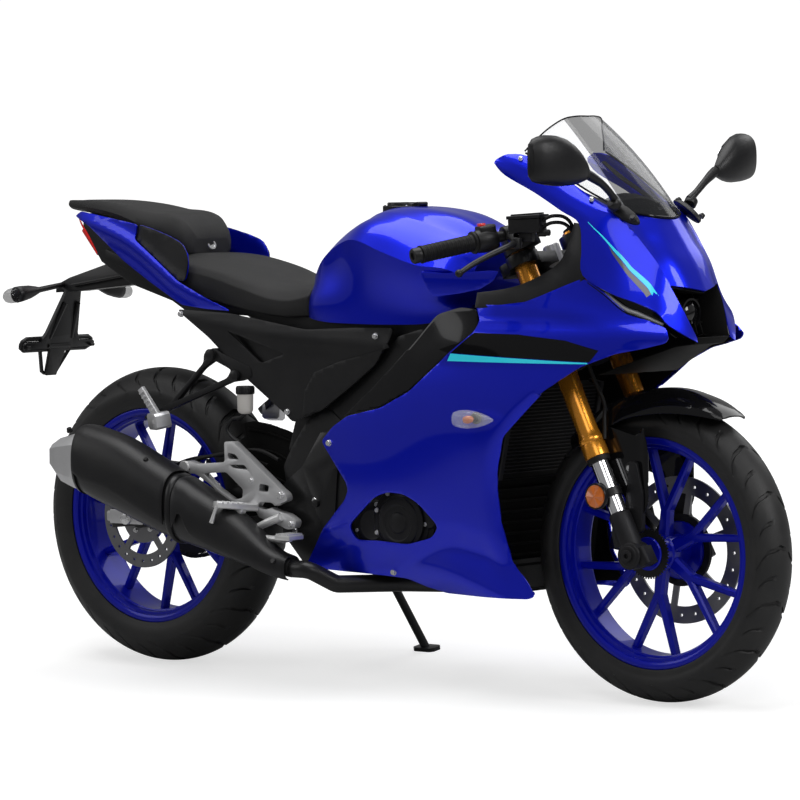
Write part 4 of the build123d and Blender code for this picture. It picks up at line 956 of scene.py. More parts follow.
SIDE_SKIN = (              # x, then half width and z from the keel up
    (540, ((135, 190), (142, 300), (150, 400), (152, 480), (152, 530), (150, 570))),
    (700, ((112, 190), (148, 260), (172, 380), (178, 500), (176, 580), (165, 660))),
    (860, ((118, 190), (158, 260), (182, 380), (192, 500), (192, 620), (178, 730))),
    (1010, ((150, 190), (168, 260), (186, 380), (203, 540), (196, 700), (174, 805))),
    (1130, ((160, 190), (172, 280), (186, 400), (203, 560), (192, 700), (164, 825))),
    (1255, ((168, 190), (178, 300), (186, 420), (188, 560), (176, 700), (146, 852))),
    (1430, ((90, 300), (100, 420), (108, 560), (112, 640), (110, 717), (96, 770))),
)
side_base = skin_through(SIDE_SKIN)
FAIRING = ((508, 235), (564, 316), (610, 355), (639, 379), (652, 400), (647, 416), (615, 451), (573, 497),
    (610, 528), (655, 551), (751, 570), (834, 606), (940, 684), (1010, 727), (1016, 750), (1000, 782),
    (1060, 782), (1122, 789), (1244, 835), (1262, 830), (1293, 809), (1336, 771), (1421, 740), (1432, 722),
    (1425, 712), (1381, 701), (1329, 691), (1258, 664), (1174, 611), (1115, 557), (1081, 524), (1058, 460),
    (1053, 414), (1056, 350), (1074, 276), (1124, 212), (1112, 203), (1000, 202), (888, 202), (838, 212),
    (779, 225))
WINDOW = ((645, 328), (728, 390), (765, 402), (811, 400), (848, 383), (897, 339), (873, 314), (804, 297),
    (728, 301), (661, 299))
BLACK_WING = ((1002, 774), (960, 776), (900, 761), (843, 707), (725, 609), (640, 548), (655, 553),
    (751, 573), (834, 609), (941, 687), (1012, 731))


def fairing_skin(x, z):
    """The side base with its two long folds and the front edge rolled in."""
    y = side_base(x, z)
    strength = share((x - 700) / 260)
    y += strength * 11 * max(0, 1 - abs(z - 724) / (28 if z > 724 else 60))
    upper = eased(((999, 782), (1171, 778), (1313, 748), (1431, 722)), x)
    y += strength * 4 * max(0, 1 - abs(z - upper) / 26) * share((x - 990) / 60)
    below = eased(((540, 262), (700, 285), (755, 294), (907, 345), (1000, 334), (1062, 318), (1120, 290)),
        x) - z
    flare = 22 * share((below - 50) / 62) - 9 * share(below / 46)
    front = eased(((205, 1118), (276, 1074), (350, 1056), (460, 1058), (557, 1115), (611, 1174)), z)
    y += flare * share((x - 600) / 140) * share((front - x) / 60)
    if z < 611 and x > front - 34:
        y -= 8 * min(1, (x - front + 34) / 34) ** 2
    return y


def black_wing_skin(x, z):
    """The black wing lies a little inside the painted side and arches outwards."""
    return side_base(x, z) - 2.5 + 3 * sin(max(0, x - 640) / 370 * pi)


class BIKE_OT_fairing(bpy.types.Operator):
    """Side fairings with engine windows, black wings, stripes, screws and belly pan"""
    bl_idname = "bike.fairing"
    bl_label = "Side fairing"

    def execute(self, context):
        for side, word in ((RIGHT, "right"), (LEFT, "left")):
            bm = bmesh.new()
            panel(bm, rounded(FAIRING, 9), fairing_skin)
            if side == LEFT:
                mirror_all(bm)
            part = piece("fairing_shell_" + word, bm, "blue paint", ("fairing_" + word,), wall=4)
            cut(part, WINDOW, 90 * -side, 240 * -side, 14)
            settle_edges(part, 1.8)
        panels("black_wings", "gloss black", BLACK_WING, 12, black_wing_skin, slot="black_gloss", wall=4,
            bevel=1.6)
        field = ((1014, 727.5), (1120, 726), (1230, 716), (1297, 697), (1278, 674), (949, 686))
        panels("black_field", "gloss black", field, 0, fairing_skin, lift=0.35, slot="black_gloss", wall=0.3)
        stripe = ((949, 685), (1110, 679), (1274, 673), (1274, 670.5), (1120, 670), (939, 670))
        # The side stripes carry the stripe paint's painted glow.
        panels("cyan_side_stripes", "cyan stripe", stripe, 0, fairing_skin, lift=0.6, wall=0.3)
        side_bolts("fairing_screws", [(x, fairing_skin(x, z) + 0.6, z, 5.5) for x, z in ((598, 494),
                (742, 236))])
        refine("belly_pan", "moulded black", 1)
        return {"FINISHED"}


# ---- nose: stations run from the wing tip behind the screen to the beak ----
RIDGE = ((1028, 146, 1068), (1085, 146, 1054), (1160, 138, 1018), (1225, 130, 985), (1265, 120, 968),
    (1300, 108, 955), (1330, 99, 925), (1354, 92, 896), (1381, 85, 860), (1401, 78, 822), (1428, 66, 768),
    (1449, 54, 719))
FLANK = ((1026, 149, 1064), (1068, 151, 1044), (1142, 147, 1008), (1205, 142, 974), (1248, 136, 952),
    (1278, 134, 922), (1305, 131, 884), (1336, 122, 850), (1374, 108, 822), (1402, 96, 793), (1427, 83, 756),
    (1452, 58, 715))
HEM = ((1025, 150, 1060), (1052, 150, 1036), (1125, 149, 1002), (1190, 147, 966), (1231, 144, 942),
    (1243, 152, 893), (1250, 158, 842), (1310, 149, 808), (1359, 136, 791), (1400, 120, 772),
    (1422, 106, 745), (1456, 61, 712))
SCREEN_RIM = ((1050, 137, 1078), (1092, 130, 1074), (1160, 121, 1040), (1222, 111, 1002), (1262, 98, 978),
    (1300, 80, 963))


def ribbon(bm, *edges, along=4, across=4):
    """A sheet through lines that have the same number of stations, right of centre."""
    lines = [smooth_run(mirrored(edge), along) for edge in edges]
    rings = [smooth_run([line[k] for line in lines], across) if across > 1 else [line[k] for line in lines]
        for k in range(len(lines[0]))]
    bridge(bm, rings, closed=False)


def flank_point(station, down):
    """A place on the nose's side: station along it, 0 at the ridge to 1 at the hem."""
    k = min(int(station), len(RIDGE) - 2)
    t = station - k
    a, b, c = (Vector(line[k]).lerp(Vector(line[k + 1]), t) for line in (RIDGE, FLANK, HEM))
    point = (1 - down) * (1 - 2 * down) * a + 4 * down * (1 - down) * b + down * (2 * down - 1) * c
    return Vector((point.x, -point.y, point.z))


def laid_stripe(bm, rows, out=0.8, parts=6):
    """A band on the nose's side through (station, upper place, lower place)."""
    rings = []
    for station, upper, lower in rows:
        ring = []
        for k in range(parts + 1):
            down = upper + (lower - upper) * k / parts
            ahead = flank_point(min(station + 0.1, 10.9), down) - flank_point(station - 0.1, down)
            below = flank_point(station, min(down + 0.05, 1)) - flank_point(station, max(down - 0.05, 0))
            lift = ahead.cross(below).normalized()
            if lift.y > 0:
                lift.negate()
            ring.append(flank_point(station, down) + lift * out)
        rings.append(ring)
    bridge(bm, rings, closed=False)


CYAN = ((4.15, 0.58, 0.6), (5.4, 0.47, 0.5), (6.3, 0.42, 0.47), (7.1, 0.42, 0.49), (7.9, 0.44, 0.55),
    (8.4, 0.49, 0.64), (8.65, 0.52, 0.7))
GREY = ((5.6, 0.5, 0.5), (6.3, 0.48, 0.53), (7.1, 0.5, 0.58), (7.9, 0.56, 0.69), (8.3, 0.62, 0.77))


class BIKE_OT_nose(bpy.types.Operator):
    """Nose cowl with its wings and stripes, duct, lamp and slits"""
    bl_idname = "bike.nose"
    bl_label = "Nose"

    def execute(self, context):
        bm = bmesh.new()
        ribbon(bm, RIDGE, FLANK, HEM)
        middle = [Vector(a).lerp(Vector(b), 0.5) + Vector((2, 0, 2)) for a, b in zip(SCREEN_RIM, RIDGE)]
        ribbon(bm, SCREEN_RIM, middle, RIDGE[:6], across=3)
        both_sides(bm)
        rows = (((1348, 0, 948), (1337, 42, 951), (1300, 80, 963), (1300, 108, 955)),
            ((1364, 0, 924), (1353, 44, 927), (1333, 78, 930), (1330, 99, 925)),
            ((1380, 0, 900), (1370, 44, 902), (1354, 76, 902), (1354, 92, 896)),
            ((1404, 0, 862), (1396, 42, 866), (1384, 70, 866), (1381, 85, 860)),
            ((1429, 0, 809), (1420, 38, 816), (1408, 62, 820), (1401, 78, 822)))
        lines = [smooth_run([row[i] for row in rows], 4) for i in range(4)]
        rings = [mirrored(smooth_run([line[k] for line in lines], 4)) for k in range(len(lines[0]))]
        bridge(bm, [ring[::-1] + mirrored(ring[1:]) for ring in rings], closed=False)
        bmesh.ops.remove_doubles(bm, verts=bm.verts, dist=0.6)
        bmesh.ops.recalc_face_normals(bm, faces=bm.faces)
        piece("nose_shell", bm, "blue paint", ("nose_cowl",), wall=3.5, bevel=1.2, crisp=22)
        # The cyan nose stripes carry the stripe paint's painted glow.
        for name, rows, look in (("cyan_nose_stripes", CYAN, "cyan stripe"),
            ("grey_nose_stripes", GREY, "grey stripe")):
            bm = bmesh.new()
            laid_stripe(bm, smooth_run(rows, 5))
            piece(name, bm, look, slot="blue_paint", pair=True, wall=0.4)
        self.duct()
        self.slits()
        bolts("screen_screws", [((x, s * y, z), (0.25, s * 0.35, 0.9), 4) for x, y, z in ((1084, 140, 1069),
                (1244, 120, 989)) for s in (RIGHT, LEFT)])
        return {"FINISHED"}

    def duct(self):
        """Black funnel behind the nose's mouth, its ribs and the lamp in it."""
        mouth = ((1400, 76, 819), (1414, 72, 797), (1428, 65, 766), (1446, 53, 720))
        throat = ((1352, 56, 812), (1356, 54, 794), (1362, 50, 768), (1376, 42, 722))
        bm = bmesh.new()
        ribbon(bm, mouth, throat, along=3, across=1)
        both_sides(bm)
        for s in (-1, 1):
            bridge(bm, [[(1427, 0, 806), (1352, 0, 804)], [(1400, s * 76, 819), (1352, s * 56, 812)]],
                closed=False)
        floor = ((1447, 52, 721), (1436, 48, 709), (1400, 60, 704), (1330, 96, 676), (1262, 128, 648))
        back = ((1354, 55, 812), (1357, 53, 794), (1363, 49, 768), (1377, 41, 722))
        for sheet in (floor, back):
            bridge(bm, [[(x, -y, z), (x, y, z)] for x, y, z in sheet], closed=False)
        for y in (-30, -12, 12, 30):
            bar(bm, (1362, y, 810), (1392, y, 722), 1.5, 9, flat=(1, 0, 0.2))
        for z, x in ((790, 1366), (746, 1378)):
            bar(bm, (x, -50, z), (x, 50, z), 1.4, 8, flat=(1, 0, 0))
        piece("nose_duct", bm, "deep black plastic", bevel=0.6, wall=2)
        bm = bmesh.new()
        turned(bm, (1364, 0, 764), (1, 0, 0), ((0, 33), (26, 33), (31, 31), (31, 27), (24, 25.5), (24, 0.5)),
            40)
        piece("lamp_bezel", bm, "gloss black", crisp=40)
        bm = bmesh.new()
        turned(bm, (1386, 0, 764), (1, 0, 0), ((0, 25), (4, 24.6), (9, 20), (12.5, 12), (13.6, 4),
                (13.7, 0.4)), 40)
        piece("lamp_lens", bm, "black glass", ("headlamp",), crisp=60)
        bm = bmesh.new()
        turned(bm, (1383, 0, 764), (1, 0, 0), ((0, 24), (2, 24), (1, 15), (0.5, 6), (0.4, 0.4)), 32)
        piece("lamp_mirror", bm, "hard chrome", slot="lamp_clear", crisp=60)

    def slits(self):
        """Light strips in their black slits between nose and side fairing."""
        upper = ((1252, 153, 838), (1286, 149, 815), (1322, 141, 799), (1359, 132, 787), (1400, 115, 769),
            (1421, 102, 742))
        lower = ((1256, 151, 828), (1292, 146, 805), (1332, 138, 774), (1362, 128, 762), (1404, 108, 742),
            (1426, 92, 722))
        deep = [(x - 4, y - 16, z - 2) for x, y, z in upper]
        bm = bmesh.new()
        ribbon(bm, upper, deep, [(x - 3, y - 14, z + 2) for x, y, z in lower], lower, across=1)
        piece("slit_liners", bm, "gloss black", pair=True, wall=1.5)
        bm = bmesh.new()
        track = [(x - 1, -(y - 4), z + 4.5) for x, y, z in lower[1:5]]
        tube(bm, track, (2.2, 3.6, 3.6, 2.4), 10)
        piece("slit_lamps", bm, "clear lens", pair=True)
        bm = bmesh.new()
        tube(bm, [(x - 1, y + 4, z + 1) for x, y, z in track], (2.5, 4, 4, 2.5), 8)
        piece("slit_reflectors", bm, "silver casting", pair=True, slot="lamp_clear")


SCREEN_BOTTOM = ((1349, 0, 951), (1337, 42, 955), (1301, 80, 966), (1236, 106, 999), (1158, 119, 1044),
    (1088, 129, 1079))
SCREEN_TOP = ((1143, 0, 1151), (1139, 30, 1151), (1130, 60, 1146), (1113, 84, 1129), (1098, 108, 1106),
    (1084, 127, 1083))


def screen_sheet(first, last, lift=0.0):
    """The screen between two of its stations, as open rings from hem to top."""
    lines = [smooth_run(mirrored(edge), 5) for edge in (SCREEN_BOTTOM, SCREEN_TOP)]
    rings = []
    for a, b in list(zip(*lines))[first:last]:
        side = Vector((0.5, a.y / 130, 0.75)).normalized()
        rings.append([a.lerp(b, t) + side * (lift + 9 * 4 * t * (1 - t) * min(1, (b - a).length / 200))
                for t in (k / 12 for k in range(13))])
    return rings


class BIKE_OT_screen(bpy.types.Operator):
    """Windscreen with its dark hem, the panels behind it and the instrument"""
    bl_idname = "bike.screen"
    bl_label = "Screen and instrument"

    def execute(self, context):
        bm = bmesh.new()
        front = screen_sheet(0, 11)
        bridge(bm, [mirrored(ring) for ring in front[:0:-1]] + front, closed=False)
        piece("screen_front", bm, "smoked screen", ("windscreen",), wall=2.4, crisp=60)
        bm = bmesh.new()
        bridge(bm, screen_sheet(10, 26), closed=False)
        piece("screen_sides", bm, "clear screen", pair=True, wall=2.4, crisp=60)
        bm = bmesh.new()
        edge = [ring[-1] for ring in screen_sheet(0, 26)]
        hem = [ring[0] + Vector((0, 0, 0.5)) for ring in screen_sheet(0, 26)]
        for line, radius in ((edge, 1.6), (hem, 2)):
            tube(bm, mirrored(line[:0:-1]) + line, radius, 8, 1)
        rings = [ring[:2] for ring in screen_sheet(0, 13, -3.5)]
        bridge(bm, [mirrored(ring) for ring in rings[:0:-1]] + rings, closed=False)
        piece("screen_hem", bm, "gloss black", wall=1)
        self.instrument()
        bm = bmesh.new()
        outer = ((1002, 186, 776), (1060, 180, 778), (1113, 171, 782), (1180, 161, 803), (1250, 153, 836),
            (1246, 149, 895), (1232, 141, 942))
        inner = ((1000, 176, 806), (1052, 168, 812), (1094, 158, 822), (1140, 150, 841), (1184, 146, 868),
            (1203, 142, 906), (1214, 138, 944))
        ribbon(bm, outer, inner, across=1)
        shelf = [(x - 10, y - 34, z - 26) for x, y, z in inner]
        ribbon(bm, inner, shelf, across=1)
        both_sides(bm, weld=0.2)
        piece("cockpit_trim", bm, "moulded black", ("cockpit_panels",), wall=2.5, bevel=0.8)
        return {"FINISHED"}

    def instrument(self):
        """Meter with its hood, glass and the black trim under the screen."""
        bm = bmesh.new()
        rings = []
        for y, top, low in ((-74, 976, 944), (-66, 990, 936), (-30, 998, 931), (0, 1000, 930),
            (30, 998, 931), (66, 990, 936), (74, 976, 944)):
            back = 1226 + abs(y) * 0.12
            rings.append([Vector((back, y, low + 14)), Vector((back - 8, y, top - 6)),
                    Vector((back + 6, y, top)), Vector((back + 34, y, top - 10)), Vector((back + 46, y,
                    low + 4)), Vector((back + 20, y, low))])
        bridge(bm, rings)
        piece("meter_case", bm, "moulded black", ("gauge",), bevel=2)
        bm = bmesh.new()
        bar(bm, (1221.5, -60, 967), (1221.5, 60, 967), 16, 1.4, flat=(1, 0, 0.3))
        piece("meter_glass", bm, "black glass", slot="black_gloss", bevel=1)
        bm = bmesh.new()
        base = ((1340, 0, 944), (1328, 40, 946), (1296, 76, 957), (1232, 98, 988), (1160, 104, 1026),
            (1098, 112, 1062))
        middle = ((1300, 0, 962), (1290, 34, 964), (1262, 62, 976), (1206, 84, 1000), (1148, 94, 1028),
            (1094, 106, 1060))
        ribbon(bm, base, middle, across=1)
        both_sides(bm, weld=0.2)
        piece("screen_trim", bm, "moulded black", wall=2)


def mirror_ring(along, side):
    """One section of a mirror housing: 0 at its outer end to 1 at its neck."""
    tall = eased(((0, 30), (0.06, 41), (0.3, 48), (0.55, 46), (0.75, 36), (0.9, 22), (1, 11)), along)
    deep = eased(((0, 14), (0.1, 25), (0.4, 33), (0.7, 30), (0.9, 20), (1, 10)), along)
    centre = Vector((1278 + 22 * along, 0, 1066 + 3 * sin(along * pi) - 26 * along ** 2.2))
    y = 358 - 150 * along
    ring = []
    for angle in turns(28):
        x, z = cos(angle), sin(angle)
        flat = abs(x) ** 0.75 * (1 if x > 0 else -0.28)
        ring.append(Vector((centre.x + flat * deep, side * y, centre.z + bulge(z, 0.8) * tall)))
    return ring


class BIKE_OT_mirrors(bpy.types.Operator):
    """Mirrors with their arms, feet and glass"""
    bl_idname = "bike.mirrors"
    bl_label = "Mirrors"

    def execute(self, context):
        bm = bmesh.new()
        places = (0, 0.02, 0.06, 0.14, 0.26, 0.4, 0.55, 0.68, 0.8, 0.9, 0.96, 1)
        bridge(bm, [mirror_ring(t, RIGHT) for t in places])
        tube(bm, [(1300, -210, 1040), (1303, -190, 1031), (1306, -165, 1018), (1306, -138, 999),
                (1302, -120, 985)], (10, 9.5, 7.5, 7, 8.5), 14)
        turned(bm, (1302, -126, 981), (0.2, 0.75, -0.6), ((-6, 11), (-3, 13), (9, 13), (12, 11)), 24)
        plate_rings = []
        for out, size in ((0, 1), (5, 1), (9, 0.9), (10, 0.78)):
            ring = []
            for angle in turns(28):
                run, drop = 41 * size * cos(angle), 13 * size * sin(angle)
                centre = Vector((1309, -103, 962)) + Vector((0.35, -0.72, 0.6)) * (out - 3)
                ring.append(centre + Vector((0.86, 0.1, -0.5)) * run + Vector((0.36, 0.6, 0.72)) * drop)
            plate_rings.append(ring)
        bridge(bm, plate_rings)
        piece("mirror_housings", bm, "moulded black", ("mirrors",), pair=True, bevel=0.8, crisp=50)
        screws = [((1309 + way * 27 + 2, s * (110.5 + way * 2), 968 - way * 15.5), (0.35, s * 0.72, 0.6), 5)
            for way in (-1, 1) for s in (RIGHT, LEFT)]
        bolts("mirror_screws", screws, "satin black metal")
        bm = bmesh.new()
        for side in (RIGHT, LEFT):
            glass = []
            for t in (0.03, 0.1, 0.25, 0.4, 0.55, 0.7, 0.84):
                ring = mirror_ring(t, side)
                tall = (max(p.z for p in ring) - min(p.z for p in ring)) * 0.42
                middle = (max(p.z for p in ring) + min(p.z for p in ring)) / 2
                back = min(p.x for p in ring) - 0.4
                glass.append([Vector((back, ring[0].y, middle + tall * w)) for w in (-1, -0.5, 0, 0.5, 1)])
            bridge(bm, glass, closed=False)
        bmesh.ops.recalc_face_normals(bm, faces=bm.faces)
        piece("mirror_panes", bm, "mirror glass", wall=0.6)
        return {"FINISHED"}


class BIKE_OT_front_indicators(bpy.types.Operator):
    """Front turn lamps: clear shells on short stalks, with amber bulbs"""
    bl_idname = "bike.front_indicators"
    bl_label = "Front indicators"

    def execute(self, context):
        shell, bulb, stalk = bmesh.new(), bmesh.new(), bmesh.new()
        rings = []
        for t in (0, 0.05, 0.15, 0.35, 0.6, 0.8, 0.93, 1):
            x = 979 + 95 * t
            tall = 19 * sin(pi * min(1, 0.12 + t * 0.9)) ** 0.6 * (1 - 0.45 * t) + 3
            ring = []
            for angle in turns(24):
                y = -224 - 16 * (1 - 0.3 * t) * cos(angle) * sin(pi * min(0.97, 0.1 + t * 0.85)) ** 0.5
                ring.append(Vector((x, y, 558 + tall * sin(angle))))
            rings.append(ring)
        bridge(shell, rings)
        turned(bulb, (1010, -224, 557), (0.8, 0, 0.1), ((-8, 3), (-4, 7.5), (4, 8.5), (12, 6.5), (17, 2)), 18)
        turned(stalk, (1020, -205, 560), (0, -1, 0), ((0, 12), (3, 12), (5, 9), (11, 8)), 20)
        for bm in (shell, bulb, stalk):
            both_sides(bm)
        piece("indicator_shells", shell, "clear lens", ("front_indicators",), crisp=60)
        piece("indicator_bulbs", bulb, "amber lens", crisp=60)
        piece("indicator_stalks", stalk, "soft rubber", slot="black_plastic")
        return {"FINISHED"}


# ---- fork, bars and front fender ----
def leg(station, side, fore=0.0, out=0.0):
    """A place by the fork leg: millimetres along it from the axle, ahead of it and outboard."""
    return FRONT_AXLE + FORK_DIR * station + FORK_FORE * fore + Vector((0, side * (FORK_Y + out), 0))


class BIKE_OT_fork(bpy.types.Operator):
    """Upside-down fork: gold tubes, chromed stanchions, castings and reflectors"""
    bl_idname = "bike.fork"
    bl_label = "Fork"

    def execute(self, context):
        gold, rod, cast, seal = bmesh.new(), bmesh.new(), bmesh.new(), bmesh.new()
        foot = leg(0, RIGHT)
        turned(gold, foot, FORK_DIR, ((207, 23.4), (208, 24.6), (236, 24.6), (238, 23.6), (240, 24.8),
                (247, 24.8), (250, 23.4), (262, 21.2), (300, 20.8), (360, 21.2), (424, 22.5), (688, 22.5),
                (691, 21.4), (692, 18)), 48)
        turned(rod, foot, FORK_DIR, ((84, 18), (200, 18)), 40)
        turned(seal, foot, FORK_DIR, ((196, 19), (197, 22.6), (201, 23.6), (207, 23.6)), 40)
        turned(seal, foot, FORK_DIR, ((690, 18), (697, 18), (698, 17), (698, 9), (702, 8.6), (702, 1)), 24)
        turned(cast, foot, FORK_DIR, ((-14, 18), (14, 22.5), (60, 22.6), (84, 21.8), (88, 20.6), (90, 18.2)),
            40)
        turned(cast, FRONT_AXLE + Vector((0, -118, 0)), (0, 1, 0), ((0, 20), (1, 25), (3, 27), (40, 27),
                (44, 25.5), (46, 22)), 44)
        turned(cast, FRONT_AXLE + Vector((0, -119.4, 0)), (0, 1, 0), ((0, 13), (0, 19), (2, 21)), 40)
        bar(cast, leg(6, RIGHT, 24), leg(-30, RIGHT, 26), 12, 17)
        bar(cast, leg(60, RIGHT, -16), leg(26, RIGHT, -22), 9, 15)
        for bm in (gold, rod, cast, seal):
            both_sides(bm)
        lug = ((1288, 330), (1289, 372), (1302, 478), (1318, 478), (1334, 412), (1332, 340))
        for side in (-1, 1):
            plate(cast, rounded(lug, 8), side * 69.7, side * 81.6)
        bar(cast, leg(40, LEFT, -6, -2.6), leg(40, LEFT, -82, -2.6), 22, 5.8)
        piece("fork_tubes_gold", gold, "gold anodising", ("fork_tubes",), body="steering", crisp=40)
        piece("stanchions", rod, "hard chrome", body="steering", crisp=40)
        piece("fork_castings", cast, "dark casting", ("fork_sliders",), body="steering", bevel=1, crisp=40)
        piece("fork_seals", seal, "soft rubber", body="steering", crisp=40)
        self.reflectors()
        screws = [(leg(place, s, 32), FORK_FORE, 4) for place in (-8, -22) for s in (RIGHT, LEFT)]
        screws += [(leg(place, s, -33, -26), -FORK_FORE, 4) for place in (430, 444, 626, 638)
            for s in (RIGHT, LEFT)]
        bolts("pinch_screws", screws, body="steering")
        return {"FINISHED"}

    def reflectors(self):
        """Faceted amber discs in their cups beside the fork legs."""
        cup, face = bmesh.new(), bmesh.new()
        centre = leg(134, RIGHT, -17, 20)
        turned(cup, centre, (0, -1, 0), ((0, 20), (1, 25.5), (9, 26), (11, 25), (11, 23.2), (8, 23)), 40)
        turned(face, centre + Vector((0, -8, 0)), (0, -1, 0), ((0, 22.8), (2.2, 22.6), (2.6, 21.6)), 40)
        middle = centre + Vector((0, -14.4, 0))
        for k in range(12):
            a, b = (2 * pi * n / 12 for n in (k, k + 1))
            near, far = ((-10.4, -13.2) if k % 2 else (-13.2, -10.4))
            rim = [centre + Vector((21.6 * cos(t), y, 21.6 * sin(t))) for t, y in ((a, near), (b, far))]
            face.faces.new([face.verts.new(p) for p in (middle, *rim)])
        turned(cup, leg(122, RIGHT), FORK_DIR, ((0, 18.3), (1, 21.5), (17, 21.5), (18, 18.3)), 36)
        bar(cup, leg(131, RIGHT, -6, 16), centre + Vector((0, 3, 0)), 8, 5)
        for bm in (cup, face):
            both_sides(bm)
        piece("reflector_cups", cup, "moulded black", body="steering", crisp=40)
        piece("reflectors", face, "amber lens", body="steering", crisp=4)


FENDER = (                 # degrees up from ahead; crown radius; shoulder half width, radius; edge the same
    (57.5, 323, 27, 320, 40, 314), (62, 325, 36, 321, 52, 306), (70, 325.5, 43, 320, 64, 294),
    (80, 325, 48, 318, 70, 281), (90, 323, 51, 314, 72, 272), (100, 318, 52, 308, 72.5, 266),
    (110, 312, 52, 302, 72.5, 258), (120, 307, 50, 296, 72, 256), (131, 305, 48, 294, 70, 262),
)


class BIKE_OT_front_fender(bpy.types.Operator):
    """Front fender with its creased crown, side struts and screws"""
    bl_idname = "bike.front_fender"
    bl_label = "Front fender"

    def execute(self, context):
        bm = bmesh.new()
        rings = []
        for degrees, crown, wide, shoulder, edge, low in FENDER:
            half = [(0, crown), (wide * 0.55, crown - 0.8), (wide, shoulder),
                ((wide + edge) / 2 + 2, (shoulder + low) / 2 + 3), (edge, low)]
            ring = [(-y, r) for y, r in half[:0:-1]] + half
            rings.append([wheel_point(FRONT_AXLE, radians(degrees), r, y) for y, r in ring])
        along_rings(bm, rings, closed=False)
        piece("fender_shell", bm, "gloss black", ("front_fender",), body="steering", wall=3.4, bevel=1,
            crisp=24)
        strut = ((1206, 470), (1214, 520), (1219, 548), (1262, 540), (1312, 527), (1333, 545), (1343, 500),
            (1343, 432), (1344, 398), (1318, 346), (1304, 350), (1292, 396), (1262, 440), (1222, 450))
        bm = bmesh.new()
        panel(bm, rounded(strut, 6), lambda x, z: 73.5 + 3 * max(0, 1 - abs(x - 1337) / 14), cell=8)
        piece("fender_struts", bm, "gloss black", pair=True, body="steering", wall=3.6, bevel=1.2, crisp=26)
        bm = bmesh.new()
        for x, z in ((1300, 464), (1322, 417)):
            turned(bm, (x, -73, z), (0, -1, 0), ((0, 13), (2.6, 12.4), (2.8, 9), (1.2, 8.4)), 28)
        piece("fender_washers", bm, "moulded black", pair=True, body="steering")
        side_bolts("fender_screws", ((1300, 75, 464, 6), (1322, 75, 417, 6)), body="steering")
        return {"FINISHED"}


BAR_INNER, BAR_OUTER = Vector((1066, 112, 925)), Vector((972, 335, 881))
BAR_RUN = (BAR_OUTER - BAR_INNER).normalized()


def on_bar(distance, side=RIGHT, up=0.0, ahead=0.0):
    """A place by the clip-on tube: distance out from its inner end, then up and ahead."""
    point = BAR_INNER + BAR_RUN * distance + Vector((ahead, 0, up))
    return Vector((point.x, side * point.y, point.z))


